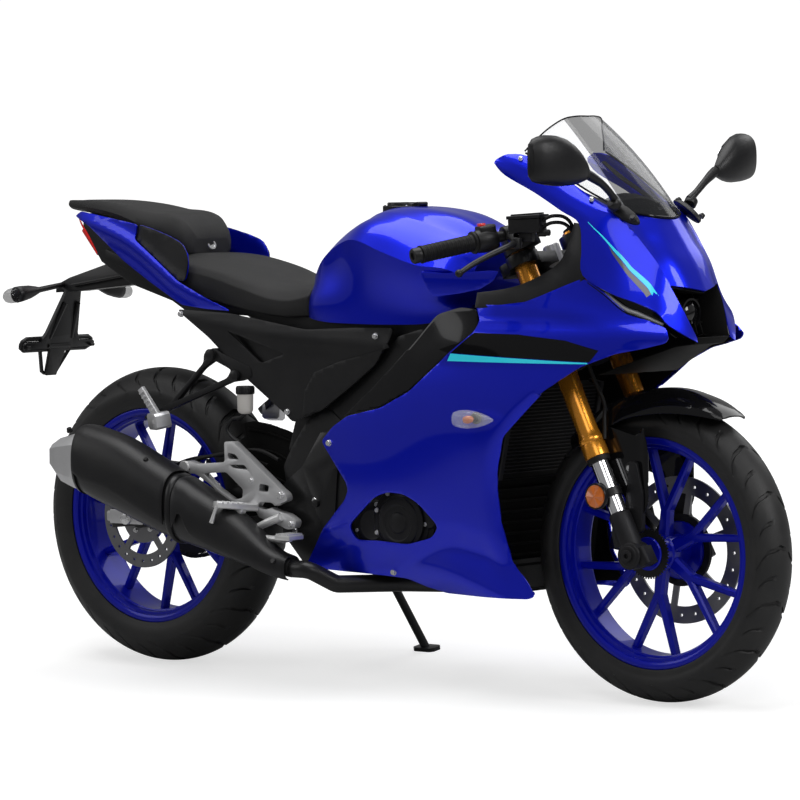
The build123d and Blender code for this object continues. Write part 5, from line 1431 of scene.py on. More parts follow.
class BIKE_OT_controls(bpy.types.Operator):
    """Grips, switches, levers, brake reservoir and hoses"""
    bl_idname = "bike.controls"
    bl_label = "Controls"

    def execute(self, context):
        out = Vector((BAR_RUN.x, -BAR_RUN.y, BAR_RUN.z))
        grip, boxes, ends = bmesh.new(), bmesh.new(), bmesh.new()
        profile = [(110, 14), (110.2, 21.5), (112, 23), (115, 22), (117, 17.4)]
        for k in range(24):
            at = 120 + k * 4.4
            profile += [(at, 17.2 - 0.4 * (k % 2)), (at + 2.6, 17.2 - 0.4 * (k % 2)), (at + 2.9, 16.4)]
        profile += [(226, 17.6), (231, 18), (232, 16)]
        turned(grip, on_bar(0), out, profile, 36)
        turned(ends, on_bar(0), out, ((232.6, 12), (233.4, 15.6), (247, 15.6), (249, 14), (249, 8),
                (245, 7.4), (245, 1)), 32)
        turned(boxes, on_bar(0), out, ((63, 17), (64, 21), (74, 23), (90, 24.5), (104, 22.5), (108.6, 21),
                (109, 16)), 36)
        bar(boxes, on_bar(70, up=17, ahead=2), on_bar(102, up=19, ahead=0), 17, 12, 15, 10, flat=(0, 0, 1))
        turned(boxes, on_bar(0), out, ((24, 15), (25, 18.4), (45, 18.4), (46, 15)), 32)
        tube(boxes, [on_bar(36, ahead=10), (1098, -172, 905), (1110, -186, 904)], (13, 11, 10), 14)
        turned(boxes, (1110, -188, 893), (0, 0, 1), ((0, 9), (1, 11), (21, 11), (22, 9)), 24)
        for bm in (grip, boxes, ends):
            both_sides(bm)
        piece("grip_rubbers", grip, "soft rubber", ("grips",), body="steering", crisp=25)
        piece("bar_weights", ends, "satin black metal", body="steering", crisp=40)
        piece("switch_housings", boxes, "moulded black", ("hand_controls",), body="steering", bevel=1.4,
            crisp=40)
        blades = bmesh.new()
        tube(blades, [(1108, -186, 904), (1112, -214, 898), (1102, -250, 885), (1086, -288, 867),
                (1074, -318, 849)], (8.5, 6.5, 6, 5.6, 5.2), 14)
        turned(blades, (1073, -320, 848), (-0.3, -0.7, -0.45), ((-7, 3), (-5, 6.4), (0, 8.2), (5, 6.4),
                (7.6, 2)), 20)
        piece("hand_levers", blades, "satin black metal", pair=True, body="steering", crisp=50)
        self.brake_supply()
        bm = bmesh.new()
        # The red lens finish glows a little, so this switch, which is no lamp, carries a painted glow.
        bar(bm, on_bar(84, up=29, ahead=-4), on_bar(97, up=30, ahead=-5), 7, 4, flat=(0, 0, 1))
        piece("kill_switch", bm, "red lens", body="steering", bevel=1)
        bm = bmesh.new()
        bar(bm, on_bar(74, up=20, ahead=-16), on_bar(84, up=20, ahead=-18), 5, 5)
        turned(bm, on_bar(92, up=6, ahead=-21), (-1, 0, 0.1), ((0, 7), (5, 7), (6, 6)), 20)
        piece("switch_buttons", bm, "satin black metal", pair=True, body="steering", slot="black_plastic",
            bevel=0.6)
        refine("handlebars", "satin black metal", 1, "steering")
        refine("triple_clamps", "satin black metal", 2.5, "steering")
        refine("front_axle", "dark casting", 1, "steering", slot="steel")
        stem = FRONT_AXLE + FORK_DIR * 644 + FORK_FORE * -36
        bm = bmesh.new()
        turned(bm, stem, FORK_DIR, ((0, 19), (4, 19), (6, 17), (6, 10), (11, 10), (12, 8)), 6)
        turned(bm, stem + FORK_FORE * 42, FORK_DIR, ((-24, 17), (14, 17), (16, 15.5), (16, 8), (13, 7.5),
                (13, 1)), 28)
        piece("stem_nut_and_lock", bm, "silver casting", body="steering", slot="steel", crisp=30)
        return {"FINISHED"}

    def brake_supply(self):
        """Front brake reservoir with its lid, screws and hoses."""
        pot, lid = bmesh.new(), bmesh.new()
        start, end = Vector((1085, -170, 936)), Vector((1146, -150, 940))
        bar(pot, start, end, 22, 15, flat=(0, 0, 1), corner=0.18)
        bar(pot, (1104, -166, 918), (1128, -158, 918), 12, 12, flat=(0, 0, 1))
        turned(pot, (1136, -152, 924), (1, 0.3, 0), ((0, 8), (16, 8), (17, 6.5), (24, 6.5), (25, 5)), 20)
        bar(lid, start + Vector((-3, 1, 17)), end + Vector((4, -1, 17)), 24.5, 3.4, flat=(0, 0, 1),
            corner=0.3)
        bar(lid, start + Vector((3, 0, 22)), end + Vector((-3, 0, 22)), 16, 1.8, flat=(0, 0, 1), corner=0.3)
        piece("brake_pot", pot, "moulded black", body="steering", bevel=1.2, crisp=40)
        piece("brake_pot_lid", lid, "satin black metal", body="steering", slot="black_plastic", bevel=1.2,
            crisp=40)
        bolts("pot_screws", [((1092, -168, 957), (0, 0, 1), 2.6), ((1141, -152, 961), (0, 0, 1), 2.6)],
            "satin black metal", body="steering")
        bm = bmesh.new()
        for up, back in ((0, 0), (-13, -4)):
            tube(bm, [(1140, -152, 944 + up), (1160, -140, 956 + up), (1180, -122, 953 + up),
                    (1188, -108, 930 + up), (1172 + back, -92, 880 + up), (1130 + back, -74, 830)], 3.6, 12)
        tube(bm, [(1158, -93, 752), (1186, -80, 700), (1204, -68, 640), (1226, -62, 590), (1238, -76, 560),
                (1246, -86, 520)], 4, 10)
        piece("brake_hoses", bm, "soft rubber", body="steering", crisp=60)


# ---- exhaust ----
CAN = (                    # x, low z, high z, half width
    (-50, 371, 506, 46), (-40, 367, 507, 48), (-20, 358, 505, 49), (70, 328, 482, 50),
    (187, 290, 432, 50), (307, 262, 378, 45), (397, 240, 330, 36), (482, 224, 270, 26), (528, 218, 256, 19.5),
)
CAN_Y = 198


def can_ring(row, first=0.0, last=360.0, count=40, out=0.0):
    """Part of the silencer's section, in degrees from its outer side over the top."""
    x, low, high, half = row
    whole = last - first >= 360
    ring = []
    for k in range(count if whole else count + 1):
        angle = radians(first + (last - first) * k / count)
        c, s = cos(angle), sin(angle)
        y = (half + out) * bulge(c, 0.8)
        z = (low + high) / 2 + ((high - low) / 2 + out) * bulge(s, 0.82)
        ring.append(Vector((x, -CAN_Y - y, z)))
    return ring


def can_row(x):
    """The silencer's own section at x."""
    return (x, *(eased([(row[0], row[i]) for row in CAN], x) for i in (1, 2, 3)))


class BIKE_OT_exhaust(bpy.types.Operator):
    """Silencer with its heat shield, bands and silver end cap, and the pipe"""
    bl_idname = "bike.exhaust"
    bl_label = "Exhaust"

    def execute(self, context):
        bm = bmesh.new()
        bridge(bm, [can_ring(can_row(-50 + k * 17), out=-1) for k in range(35)])
        piece("silencer_can", bm, "heat-proof black", ("muffler",), crisp=40)
        bm = bmesh.new()
        rings = []
        for k in range(30):
            x = -45 + k * 261 / 29
            low = eased(((-45, -12), (-20, -18), (40, -14), (98, -16), (216, -24)), x)
            rings.append(can_ring(can_row(x), low, 128, 22, 4.2))
        bridge(bm, rings, closed=False)
        rings = []
        for k in range(30):
            x = 238 + k * 288 / 29
            low = eased(((238, -24), (262, 4), (289, -22), (420, -32), (526, -70)), x)
            rings.append(can_ring(can_row(x), low, eased(((238, 128), (400, 150), (526, 200)), x), 22, 3.8))
        bridge(bm, rings, closed=False)
        piece("heat_shields", bm, "moulded black", slot="black_metal", wall=3, bevel=1.3, crisp=40)
        bm = bmesh.new()
        for stations, out in (((219, 220, 223, 231, 234, 235), (-1, 3, 5, 5, 3, -1)),
            ((-50, -49.5, -43, -42), (-1, 3, 3, -1))):
            bridge(bm, [can_ring(can_row(x), out=o) for x, o in zip(stations, out)])
        piece("silencer_bands", bm, "satin black metal", crisp=40)
        bm = bmesh.new()
        corners = (-28, 28, 62, 118, 152, 208, 242, 298)
        rings = []
        for row in ((-46, 371, 503, 48), (-62, 373, 500, 48), (-104, 388, 489, 43), (-135, 416, 473, 28),
            (-138, 424, 467, 22), (-122, 428, 463, 20)):
            rings.append([can_ring(row, a, a, 1)[0] for a in corners])
        bridge(bm, rings)
        piece("silencer_cap", bm, "silver casting", bevel=2, crisp=30)
        places = []
        for x, angle in ((-75, 62), (150, 62), (500, 20)):
            point = can_ring(can_row(x), angle, angle, 1, 4.4)[0]
            places.append((point, (0, -cos(radians(angle)), sin(radians(angle))), 5.5))
        bolts("shield_screws", places, "satin black metal")
        bm = bmesh.new()
        turned(bm, (199, -124, 430), (0, -1, 0), ((0, 13), (1, 15), (20, 15), (22, 13)), 28)
        bar(bm, (199, -142, 432), (206, -160, 418), 12, 4, flat=(0, 1, 0.5))
        piece("silencer_hanger", bm, "satin black metal", bevel=0.8)
        refine("exhaust_pipe", "satin black metal", 0.6)
        return {"FINISHED"}


# ---- foot controls ----
BRACKET = ((186, 430), (196, 416), (228, 418), (268, 398), (311, 367), (367, 344), (398, 347), (404, 334),
    (447, 325), (483, 312), (503, 316), (508, 331), (484, 344), (453, 350), (438, 354), (459, 364),
    (484, 372), (481, 385), (466, 394), (405, 438), (369, 464), (335, 488), (310, 487), (312, 444),
    (231, 438), (212, 444), (194, 442))
BRACKET_HOLES = (((252, 419), (315, 424), (362, 390), (360, 372), (333, 367), (290, 389)),
    ((408, 404), (434, 401), (431, 387), (405, 388)), ((320, 465), (341, 462), (352, 451), (320, 452)),
    ((324, 440), (366, 441), (376, 431), (334, 433)), ((398, 356), (420, 350), (452, 358), (440, 366),
        (408, 366)))
HANGER = ((236, 668), (259, 680), (283, 668), (362, 640), (366, 622), (333, 612), (305, 609), (160, 549),
    (122, 520), (104, 533), (159, 560), (235, 648))
HANGER_HOLE = ((264, 654), (308, 634), (296, 617), (178, 568), (236, 636))


class BIKE_OT_foot_controls(bpy.types.Operator):
    """Machined footrest brackets with pegs, levers and the folded passenger pegs"""
    bl_idname = "bike.foot_controls"
    bl_label = "Foot controls"

    def execute(self, context):
        for side, word in ((RIGHT, "right"), (LEFT, "left")):
            bm = bmesh.new()
            plate(bm, rounded(BRACKET, 7), -side * 145, -side * 163)
            part = piece("foot_bracket_" + word, bm, "silver casting", ("footrest_brackets",)
                if side == RIGHT else ())
            for hole in BRACKET_HOLES:
                cut(part, hole, -side * 140, -side * 170, 5)
            settle_edges(part, 1.8)
        side_bolts("bracket_screws", ((466, 163, 382, 7), (494, 163, 324, 6), (386, 163, 409, 5)))
        bm = bmesh.new()
        turned(bm, (199, -160, 430), (0, -1, 0), ((0, 12), (1, 13.5), (6, 13.5), (7, 12), (7, 5)), 28)
        bar(bm, (392, -160, 354), (362, -248, 364), 14, 8, 10, 7, flat=(0, 0, 1))
        turned(bm, (378, -186, 351), (0.1, -1, 0.1), ((0, 13), (14, 13), (16, 11)), 24)
        for k in range(5):
            x, y = 383 - k * 3.6, -196 - k * 11
            bar(bm, (x - 9, y, 366 + k), (x + 9, y, 364 + k), 2, 2)
        tube(bm, [(364, -246, 360), (358, -248, 345), (352, -250, 326)], (4.5, 3.6, 5), 12)
        piece("rider_pegs", bm, "bare alloy", pair=True, bevel=1)
        bm = bmesh.new()
        run = [(470, -168, 338), (430, -176, 322), (404, -180, 306), (424, -184, 296), (486, -190, 294),
            (520, -196, 298)]
        tube(bm, run, (9, 8, 8, 7, 7, 7), 12)
        bar(bm, (520, -178, 301), (520, -222, 301), 20, 5, flat=(0, 0, 1))
        for k in range(6):
            bar(bm, (505 + k * 6, -178, 307), (505 + k * 6, -222, 307), 1.5, 2, flat=(0, 0, 1))
        piece("foot_lever_arms", bm, "bare alloy", ("foot_levers",), pair=True, bevel=0.8)
        self.passenger()
        return {"FINISHED"}

    def passenger(self):
        """Hangers of the folded passenger pegs, their bosses and the pegs."""
        for side, word in ((RIGHT, "right"), (LEFT, "left")):
            bm = bmesh.new()
            plate(bm, rounded(HANGER, 6), -side * 122, -side * 136)
            for vert in bm.verts:
                vert.co.y += side * max(0, 250 - vert.co.x) * 0.34
            part = piece("peg_hanger_" + word, bm, "satin black metal", ("passenger_pegs",) if side == RIGHT
                else ())
            cut(part, HANGER_HOLE, -side * 110, -side * 190, 6)
            settle_edges(part, 2.2)
        bm = bmesh.new()
        for x, z in ((255, 665), (322, 622)):
            turned(bm, (x, -112.3, z), (0, -1, 0), ((0, 9), (10, 9), (24, 9), (26, 12), (33, 12), (34, 10)),
                24)
        piece("peg_hanger_bosses", bm, "satin black metal", pair=True)
        bm = bmesh.new()
        bar(bm, (150, -164, 530), (138, -196, 524), 20, 17, flat=(0, 0, 1))
        bar(bm, (146, -186, 534), (108, -196, 594), 9, 6.5, 7.5, 5, flat=(0, 1, 0))
        for k in range(5):
            a = Vector((146, -193, 534)).lerp(Vector((108, -203, 594)), 0.25 + k * 0.15)
            bar(bm, a - Vector((5, 0, 3)), a + Vector((5, 0, 3)), 2, 1.6)
        turned(bm, (146, -196, 524), (0, -1, 0), ((0, 5), (3, 5), (4, 4)), 16)
        piece("passenger_peg_blades", bm, "silver casting", pair=True, bevel=1.4)


class BIKE_OT_rear_brake(bpy.types.Operator):
    """Rear brake pot with its hose, the caliper and the axle's fittings"""
    bl_idname = "bike.rear_brake"
    bl_label = "Rear brake"

    def execute(self, context):
        pot, lid = bmesh.new(), bmesh.new()
        turned(pot, (352, -142, 545), (0, 0, 1), ((0, 9), (3, 14), (8, 16.4), (38, 17), (41, 17)), 40)
        turned(lid, (352, -142, 585.6), (0, 0, 1), ((0, 17.4), (1, 19), (15, 19), (17, 17.5), (17, 3)), 40)
        bar(lid, (352, -130, 592), (352, -112.4, 592), 6, 4)
        tube(lid, [(352, -142, 546), (334, -138, 536), (308, -132, 532), (290, -130, 512), (306, -132, 494),
                (330, -136, 484), (352, -140, 462)], 4, 12)
        piece("rear_brake_pot", pot, "translucent pot", ("rear_reservoir",), crisp=40)
        piece("rear_pot_lid", lid, "moulded black", crisp=40)
        bm = bmesh.new()
        for k in range(24):
            spot = Vector((352 + 18.6 * cos(k * pi / 12), -142 + 18.6 * sin(k * pi / 12), 586.8))
            bar(bm, spot, spot + Vector((0, 0, 13)), 0.9, 0.9, flat=(0, 1, 0))
        piece("rear_pot_ribs", bm, "moulded black")
        refine("rear_caliper", "satin black metal", 2)
        refine("rear_axle", "bright steel", 1)
        refine("swingarm", "satin black metal", 2.5, slot="alloy")
        bm = bmesh.new()
        plate(bm, rounded(((-52, 300), (-52, 329), (44, 331), (48, 318), (44, 300)), 4), 124.4, 128)
        turned(bm, (0, -124.6, 313.9), (0, -1, 0), ((0, 15), (3.4, 15), (3.6, 13), (11, 12.5)), 6)
        bar(bm, (-66, -110, 314), (-46, -110, 314), 11, 12)
        piece("chain_adjusters", bm, "silver casting", pair=True, bevel=0.8)
        bm = bmesh.new()
        tube(bm, [(86, -98, 396), (130, -118, 420), (210, -128, 446), (300, -132, 462), (380, -134, 470),
                (430, -128, 452)], 4, 10)
        tube(bm, [(70, -98, 402), (140, -108, 436), (230, -118, 452), (330, -124, 452), (400, -128, 440)], 3,
            10)
        piece("rear_brake_lines", bm, "soft rubber", crisp=60)
        return {"FINISHED"}


# ---- drive and engine ----
def draw_link(bm):
    """One chain link of unit size along x: two side plates on their rollers."""
    for y in (-0.44, 0.44):
        outline = [(0.5 + 0.34 * cos(t), 0.34 * sin(t)) for t in (radians(d) for d in range(-70, 71, 35))]
        outline += [(-0.5 + 0.34 * cos(t), 0.34 * sin(t)) for t in (radians(d) for d in range(110, 251, 35))]
        bridge(bm, [[(x, y + w, z) for x, z in outline] for w in (-0.07, 0.07)])
    for x in (-0.5, 0.5):
        turned(bm, (x, -0.5, 0), (0, 1, 0), ((0, 0.2), (1, 0.2)), 10)


def chain_run(pitch):
    """Middle and heading of each link round both sprockets."""
    big, small = Vector((0, 313.9)), Vector((615, 385))
    big_r, small_r = 97, 28.5
    gap = small - big
    base = atan2(gap.y, gap.x)
    spread = asin((big_r - small_r) / gap.length)
    points = []
    for centre, radius, start, end in ((big, big_r, base + pi / 2 - spread, base + 3 * pi / 2 + spread),
        (small, small_r, base - pi / 2 + spread, base + pi / 2 - spread)):
        count = max(6, int(abs(end - start) * radius / 4))
        for k in range(count + 1):
            angle = start + (end - start) * k / count
            points.append(centre + Vector((cos(angle), sin(angle))) * radius)
    points.append(points[0].copy())
    lengths = [0]
    for a, b in zip(points, points[1:]):
        lengths.append(lengths[-1] + (b - a).length)
    count = int(lengths[-1] / pitch)
    step = lengths[-1] / count
    links, k = [], 0
    for n in range(count):
        at = n * step
        while lengths[k + 1] < at:
            k += 1
        t = (at - lengths[k]) / (lengths[k + 1] - lengths[k])
        spot, heading = points[k].lerp(points[k + 1], t), (points[k + 1] - points[k]).normalized()
        links.append((spot, heading))
    return links, step


class BIKE_OT_drive(bpy.types.Operator):
    """Chain of separate links, its sprockets and guard"""
    bl_idname = "bike.drive"
    bl_label = "Drive"

    def execute(self, context):
        links, step = chain_run(12.7)
        bm = bmesh.new()
        for spot, heading in links:
            item = bmesh.new()
            draw_link(item)
            turn = Matrix(((heading.x, 0, -heading.y), (0, 1, 0), (heading.y, 0, heading.x))).to_4x4()
            item.transform(Matrix.Translation((spot.x, 83.5, spot.y)) @ turn
                @ Matrix.Diagonal((step, 15, 12.7, 1)))
            join(bm, item)
        piece("chain_links", bm, "dark casting", ("chain",), slot="steel", crisp=30)
        refine("drive_sprocket", "dark casting", 0.5, slot="steel")
        bm = bmesh.new()
        guard = ((40, 428), (120, 426), (300, 412), (420, 408), (430, 400), (300, 403), (120, 416), (40, 418))
        plate(bm, guard, -100, -76)
        piece("chain_guard", bm, "moulded black", bevel=1)
        return {"FINISHED"}


class BIKE_OT_engine(bpy.types.Operator):
    """Engine covers with their screws, radiator fins and the black shrouds round them"""
    bl_idname = "bike.engine"
    bl_label = "Engine"

    def execute(self, context):
        for node in ("engine_case", "cylinder"):
            refine(node, "dark casting", 2)
        refine("radiator", "deep black plastic", 1, slot="black_metal")
        cover = bmesh.new()
        turned(cover, (770, -134, 338), (0, -1, 0), ((0, 74), (4, 75), (8, 72), (9, 58), (13, 56), (18, 50),
                (20, 38), (17, 35), (17, 22), (20, 20), (22, 8), (22, 1)), 56)
        turned(cover, (693, -126, 330), (0, -1, 0), ((0, 50), (8, 51), (14, 46), (17, 30), (15, 26),
                (15, 1)), 40)
        turned(cover, (842, -120, 352), (0, -1, 0), ((0, 26), (18, 26), (24, 22), (26, 12), (26, 1)), 32)
        turned(cover, (775, 140, 336), (0, 1, 0), ((0, 68), (4, 68), (9, 62), (12, 50), (10, 46), (12, 20),
                (13, 1)), 48)
        piece("engine_covers", cover, "dark casting", bevel=0.6, crisp=30)
        spots = [((770 + 66 * cos(a), -142, 338 + 66 * sin(a)), (0, -1, 0), 4.5) for a in turns(9)]
        spots += [((693 + 43 * cos(a), -138, 330 + 43 * sin(a)), (0, -1, 0), 4) for a in turns(6, 0.3)]
        bolts("engine_screws", spots, "silver casting", slot="steel")
        bm = bmesh.new()
        lean = Vector((0.215, 0, 0.977))
        for k in range(24):
            middle = Vector((1023, 0, 440)) + lean * (6 + k * 7.3)
            bar(bm, middle - Vector((0, 138, 0)), middle + Vector((0, 138, 0)), 1.1, 1.6, flat=(1, 0, 0))
        for y in (-140, 140):
            bar(bm, Vector((1012, y, 436)), Vector((1052, y, 620)), 7, 16, flat=(1, 0, 0))
        piece("radiator_fins", bm, "dark casting")
        self.shrouds()
        for node in ("frame", "subframe", "rear_shock"):
            refine(node, "satin black metal", 1.5)
        spring = bmesh.new()
        base, top = Vector((402, 0, 446)), Vector((434, 0, 572))
        axis = (top - base).normalized()
        side = axis.cross(Vector((0, 1, 0))).normalized()
        coil = []
        for k in range(8 * 16 + 1):
            angle = 2 * pi * k / 16
            coil.append(base.lerp(top, k / 128) + (side * cos(angle) + Vector((0, 1, 0)) * sin(angle)) * 33)
        tube(spring, coil, 5, 8, 1)
        piece("shock_spring", spring, "satin black metal", crisp=60)
        return {"FINISHED"}

    def shrouds(self):
        """Black liners inside the fairing and the ribbed panel behind the front wheel."""
        liner = ((905, 250), (905, 690), (1010, 718), (1100, 735), (1260, 728), (1400, 712), (1376, 702),
            (1320, 690), (1250, 666), (1166, 613), (1106, 560), (1072, 527), (1050, 462), (1046, 414),
            (1048, 350), (1066, 276), (1108, 216), (1000, 210), (905, 210))
        panels("fairing_liners", "deep black plastic", liner, 0, fairing_skin, lift=-4.4, cell=16, wall=1.5)
        bm = bmesh.new()
        rows = ((250, 148), (320, 162), (400, 172), (480, 178), (560, 176), (610, 168))
        rings = []
        for z, half in rows:
            rings.append([Vector((x, y, z)) for x, y in ((1034, -half), (996, -126), (984, -80), (984, 80),
                    (996, 126), (1034, half))])
        bridge(bm, rings, closed=False)
        for k in range(9):
            z = 256 + k * 22
            wide = 96 + k * 2.4
            bar(bm, (990, -wide, z), (990, wide, z), 2, 6, flat=(1, 0, 0))
        piece("wheel_shroud", bm, "deep black plastic", wall=2)
        frame_cover = ((440, 440), (462, 480), (505, 540), (560, 560), (604, 528), (568, 497), (600, 460),
            (640, 416), (632, 379), (600, 350), (562, 316), (530, 270), (508, 238), (486, 240), (470, 300),
            (456, 354))
        panels("frame_covers", "moulded black", frame_cover, 8, lambda x, z: 116 + 8
            * sin((z - 240) / 320 * pi), cell=12, wall=4, bevel=1.4)
        bm = bmesh.new()
        guard = ((300, 522), (330, 527), (375, 522), (430, 509), (462, 496), (452, 471), (446, 420),
            (440, 372), (401, 355), (370, 372), (345, 404), (334, 440), (318, 480))
        panel(bm, rounded(guard, 6), lambda x, z: 90 + 7 * sin((z - 350) / 180 * pi), cell=12)
        for line in (((318, 510), (372, 504), (446, 486)), ((345, 470), (396, 462), (444, 440)),
            ((352, 425), (392, 412), (436, 396))):
            tube(bm, smooth_run([(x, -96, z) for x, z in line], 4), 3.2, 6, 1)
        piece("linkage_covers", bm, "deep black plastic", pair=True, wall=3, bevel=1)
        side_bolts("frame_cover_screws", ((528, 125, 372, 6), (474, 125, 306, 6)))


# ---- plate bracket and rear indicators ----
def on_plate(y, up, out=0.0):
    """A place on the plate's sloping face: across, up from its middle, and out to the rear."""
    slope = radians(21.5)
    return Vector((-320 + up * sin(slope) - out * cos(slope), y, 686 + up * cos(slope) + out * sin(slope)))


class BIKE_OT_plate_holder(bpy.types.Operator):
    """Slotted bar and frame of the plate bracket, and the rear indicators"""
    bl_idname = "bike.plate_holder"
    bl_label = "Plate holder"

    def execute(self, context):
        bm = bmesh.new()
        bars = [on_plate(y, up, 3) for y, up in ((-96, -30), (96, -30), (106, -24), (108, -17), (106, -10),
                (96, -4), (-96, -4), (-106, -10), (-108, -17), (-106, -24))]
        tube(bm, bars + bars[:1], 5.4, 8, 1)
        for y in (-104, 104):
            bar(bm, on_plate(y, -17, -3), on_plate(y * 0.9, -17, -3), 12, 3,
                flat=on_plate(0, 1) - on_plate(0, 0))
        bar(bm, on_plate(-34, -17, 4), on_plate(34, -17, 4), 15, 4, flat=on_plate(0, 1) - on_plate(0, 0))
        for y in (-1, 1):
            bar(bm, on_plate(y * 34, 0, 0), on_plate(y * 20, 84, -6), 9, 4)
            bar(bm, (-250, y * 24, 800), (-60, y * 24, 828), 3, 9)
        frame_run = [on_plate(y, up, 2) for y, up in ((-46, -30), (-22, -82), (-14, -86), (14, -86),
                (22, -82), (46, -30))]
        tube(bm, frame_run, 4.4, 8, 1)
        for y in (-30, 30):
            turned(bm, on_plate(y, -17, -4), (on_plate(0, 0, 1) - on_plate(0, 0)),
                ((0, 8), (12, 8), (13, 7), (13, 4)), 16)
        piece("plate_frame", bm, "satin black metal", crisp=50)
        refine("plate_bracket", "satin black metal", 2)
        bm, lens = bmesh.new(), bmesh.new()
        inner, outer = Vector((-286, -96, 791)), Vector((-289, -197, 778))
        turned(bm, inner, outer - inner, ((-78, 5.6), (-2, 6.4), (10, 10), (28, 14.4), (52, 17), (66, 17.4),
                (67, 16)), 28)
        turned(lens, inner, outer - inner, ((66, 16.6), (84, 16), (94, 12.6), (100, 7), (101.6, 2)), 28)
        for each in (bm, lens):
            both_sides(each)
        piece("rear_indicator_shells", bm, "moulded black", ("rear_indicators",), crisp=60)
        piece("rear_indicator_lenses", lens, "smoked screen", slot="lamp_clear", crisp=60)
        return {"FINISHED"}


# ---- pieces that keep their drawn shape, with eased edges ----
class BIKE_OT_kept_shapes(bpy.types.Operator):
    """Finishes on the side stand and the front caliper"""
    bl_idname = "bike.kept_shapes"
    bl_label = "Stand and caliper"

    def execute(self, context):
        refine("side_stand", "satin black metal", 1.5, "side_stand")
        refine("front_caliper", "satin black metal", 1.5, "steering")
        return {"FINISHED"}


# ---- stage: pale floor, soft lamps, camera ----
CAMERA_AT = Vector((6988.4, -7512.4, 1111.8))
CAMERA_AZ, CAMERA_EL, CAMERA_ROLL = radians(49.847), radians(3.125), radians(-0.523)
LENS = 216.2
LAMPS = (                  # name, place, target, size in m, power in W
    ("key lamp", (3.6, -3.6, 5.0), (0, 0, 0.5), 2.8, 60),
    ("nose lamp", (5.6, 0.4, 3.8), (0.3, 0, 0.5), 2.4, 160),
    ("top lamp", (-0.6, 0.3, 5.2), (0, 0, 0.4), 4.4, 230),
    ("tail lamp soft", (-4.4, -2.8, 3.4), (-0.3, 0, 0.5), 2.4, 34),
    ("far lamp", (0.4, 5.4, 3.4), (0, 0, 0.5), 3.2, 60),
)
MIRRORED = 0.26           # how bright the surround is where the finishes mirror it


def camera_matrix():
    """The camera leans with the machine, so the frame shows it upright."""
    back = Vector((cos(CAMERA_EL) * cos(CAMERA_AZ), -cos(CAMERA_EL) * sin(CAMERA_AZ), sin(CAMERA_EL)))
    right = Vector((0, 0, 1)).cross(back).normalized()
    up = back.cross(right)
    r = right * cos(CAMERA_ROLL) + up * sin(CAMERA_ROLL)
    u = up * cos(CAMERA_ROLL) - right * sin(CAMERA_ROLL)
    lean = Matrix.Rotation(-LEAN, 4, "X")
    turn = Matrix((r, u, back)).transposed().to_4x4()
    return Matrix.Translation(STANCE @ CAMERA_AT) @ lean @ turn


def maths(tree, operation, first, second):
    """A math node on two sockets or numbers."""
    node = tree.nodes.new("ShaderNodeMath")
    node.operation = operation
    for socket, value in zip(node.inputs, (first, second)):
        if isinstance(value, (int, float)):
            socket.default_value = value
        else:
            tree.links.new(value, socket)
    return node.outputs[0]


def floor_material():
    """Pale floor that turns wholly white away from the machine's shadow."""
    material = bpy.data.materials.new("pale floor")
    material.use_nodes = True
    tree = material.node_tree
    shader = tree.nodes["Principled BSDF"]
    path, where, away, reach = shader_nodes(tree, "LightPath", "TexCoord", "VectorMath", "MapRange")
    away.operation = "LENGTH"
    preset((shader, "Base Color", (0.5, 0.5, 0.5, 1)), (shader, "Roughness", 0.9),
        (shader, "Specular IOR Level", 0), (shader, "Emission Color", (1, 1, 1, 1)),
        (reach, "From Min", 1.2), (reach, "From Max", 5), (reach, "To Min", 0.66), (reach, "To Max", 1))
    wire(tree, (where, "Object", away, 0), (away, "Value", reach, "Value"))
    level = maths(tree, "MULTIPLY", path.outputs["Is Camera Ray"], reach.outputs["Result"])
    tree.links.new(level, shader.inputs["Emission Strength"])
    return material


class BIKE_OT_stage(bpy.types.Operator):
    """Pale floor, soft lamps, white surround and the camera"""
    bl_idname = "bike.stage"
    bl_label = "Stage"

    def execute(self, context):
        bpy.ops.mesh.primitive_plane_add(size=60)
        floor = context.active_object
        floor.name = "floor"
        floor.data.materials.append(floor_material())
        for name, place, target, size, power in LAMPS:
            data = bpy.data.lights.new(name, "AREA")
            data.energy, data.shape, data.size = power * sizes().light, "SQUARE", size
            lamp = linked(data)
            aim = Vector(target) - Vector(place)
            lamp.matrix_world = Matrix.Translation(place) @ aim.to_track_quat("-Z", "Y").to_matrix().to_4x4()
            lamp.visible_camera = False
        world = bpy.data.worlds.new("white surround")
        world.use_nodes = True
        tree = world.node_tree
        sky = tree.nodes["Background"]
        sky.inputs["Color"].default_value = (1, 1, 1, 1)
        ray = tree.nodes.new("ShaderNodeLightPath").outputs
        seen = maths(tree, "MAXIMUM", ray["Is Camera Ray"], ray["Is Transmission Ray"])
        glossy = maths(tree, "MULTIPLY", ray["Is Glossy Ray"], MIRRORED)
        given = maths(tree, "MAXIMUM", glossy, sizes().ambient)
        tree.links.new(maths(tree, "MAXIMUM", seen, given), sky.inputs["Strength"])
        context.scene.world = world
        data = bpy.data.cameras.new("camera")
        data.lens, data.sensor_width = LENS, 36
        data.clip_start, data.clip_end = 0.5, 80
        camera = linked(data)
        camera.matrix_world = camera_matrix()
        context.scene.camera = camera
        context.scene.view_settings.view_transform = "Standard"
        return {"FINISHED"}


# ---- settings and panel ----
def colour(name, description, default):
    """A colour setting."""
    return bpy.props.FloatVectorProperty(name=name, description=description, subtype="COLOR", size=3, min=0,
        max=1, default=default)


class BikeColours(bpy.types.PropertyGroup):
    """Finish colours of the machine"""
    body: colour("Bodywork", "Colour of the painted panels", (0.003, 0.012, 0.62))
    wheels: colour("Wheels", "Colour of the cast wheels", (0.002, 0.007, 0.42))
    fork: colour("Fork tubes", "Colour of the anodised tubes", (0.78, 0.31, 0.025))
    stripe: colour("Stripes", "Colour of the thin stripes", (0.03, 0.7, 0.87))


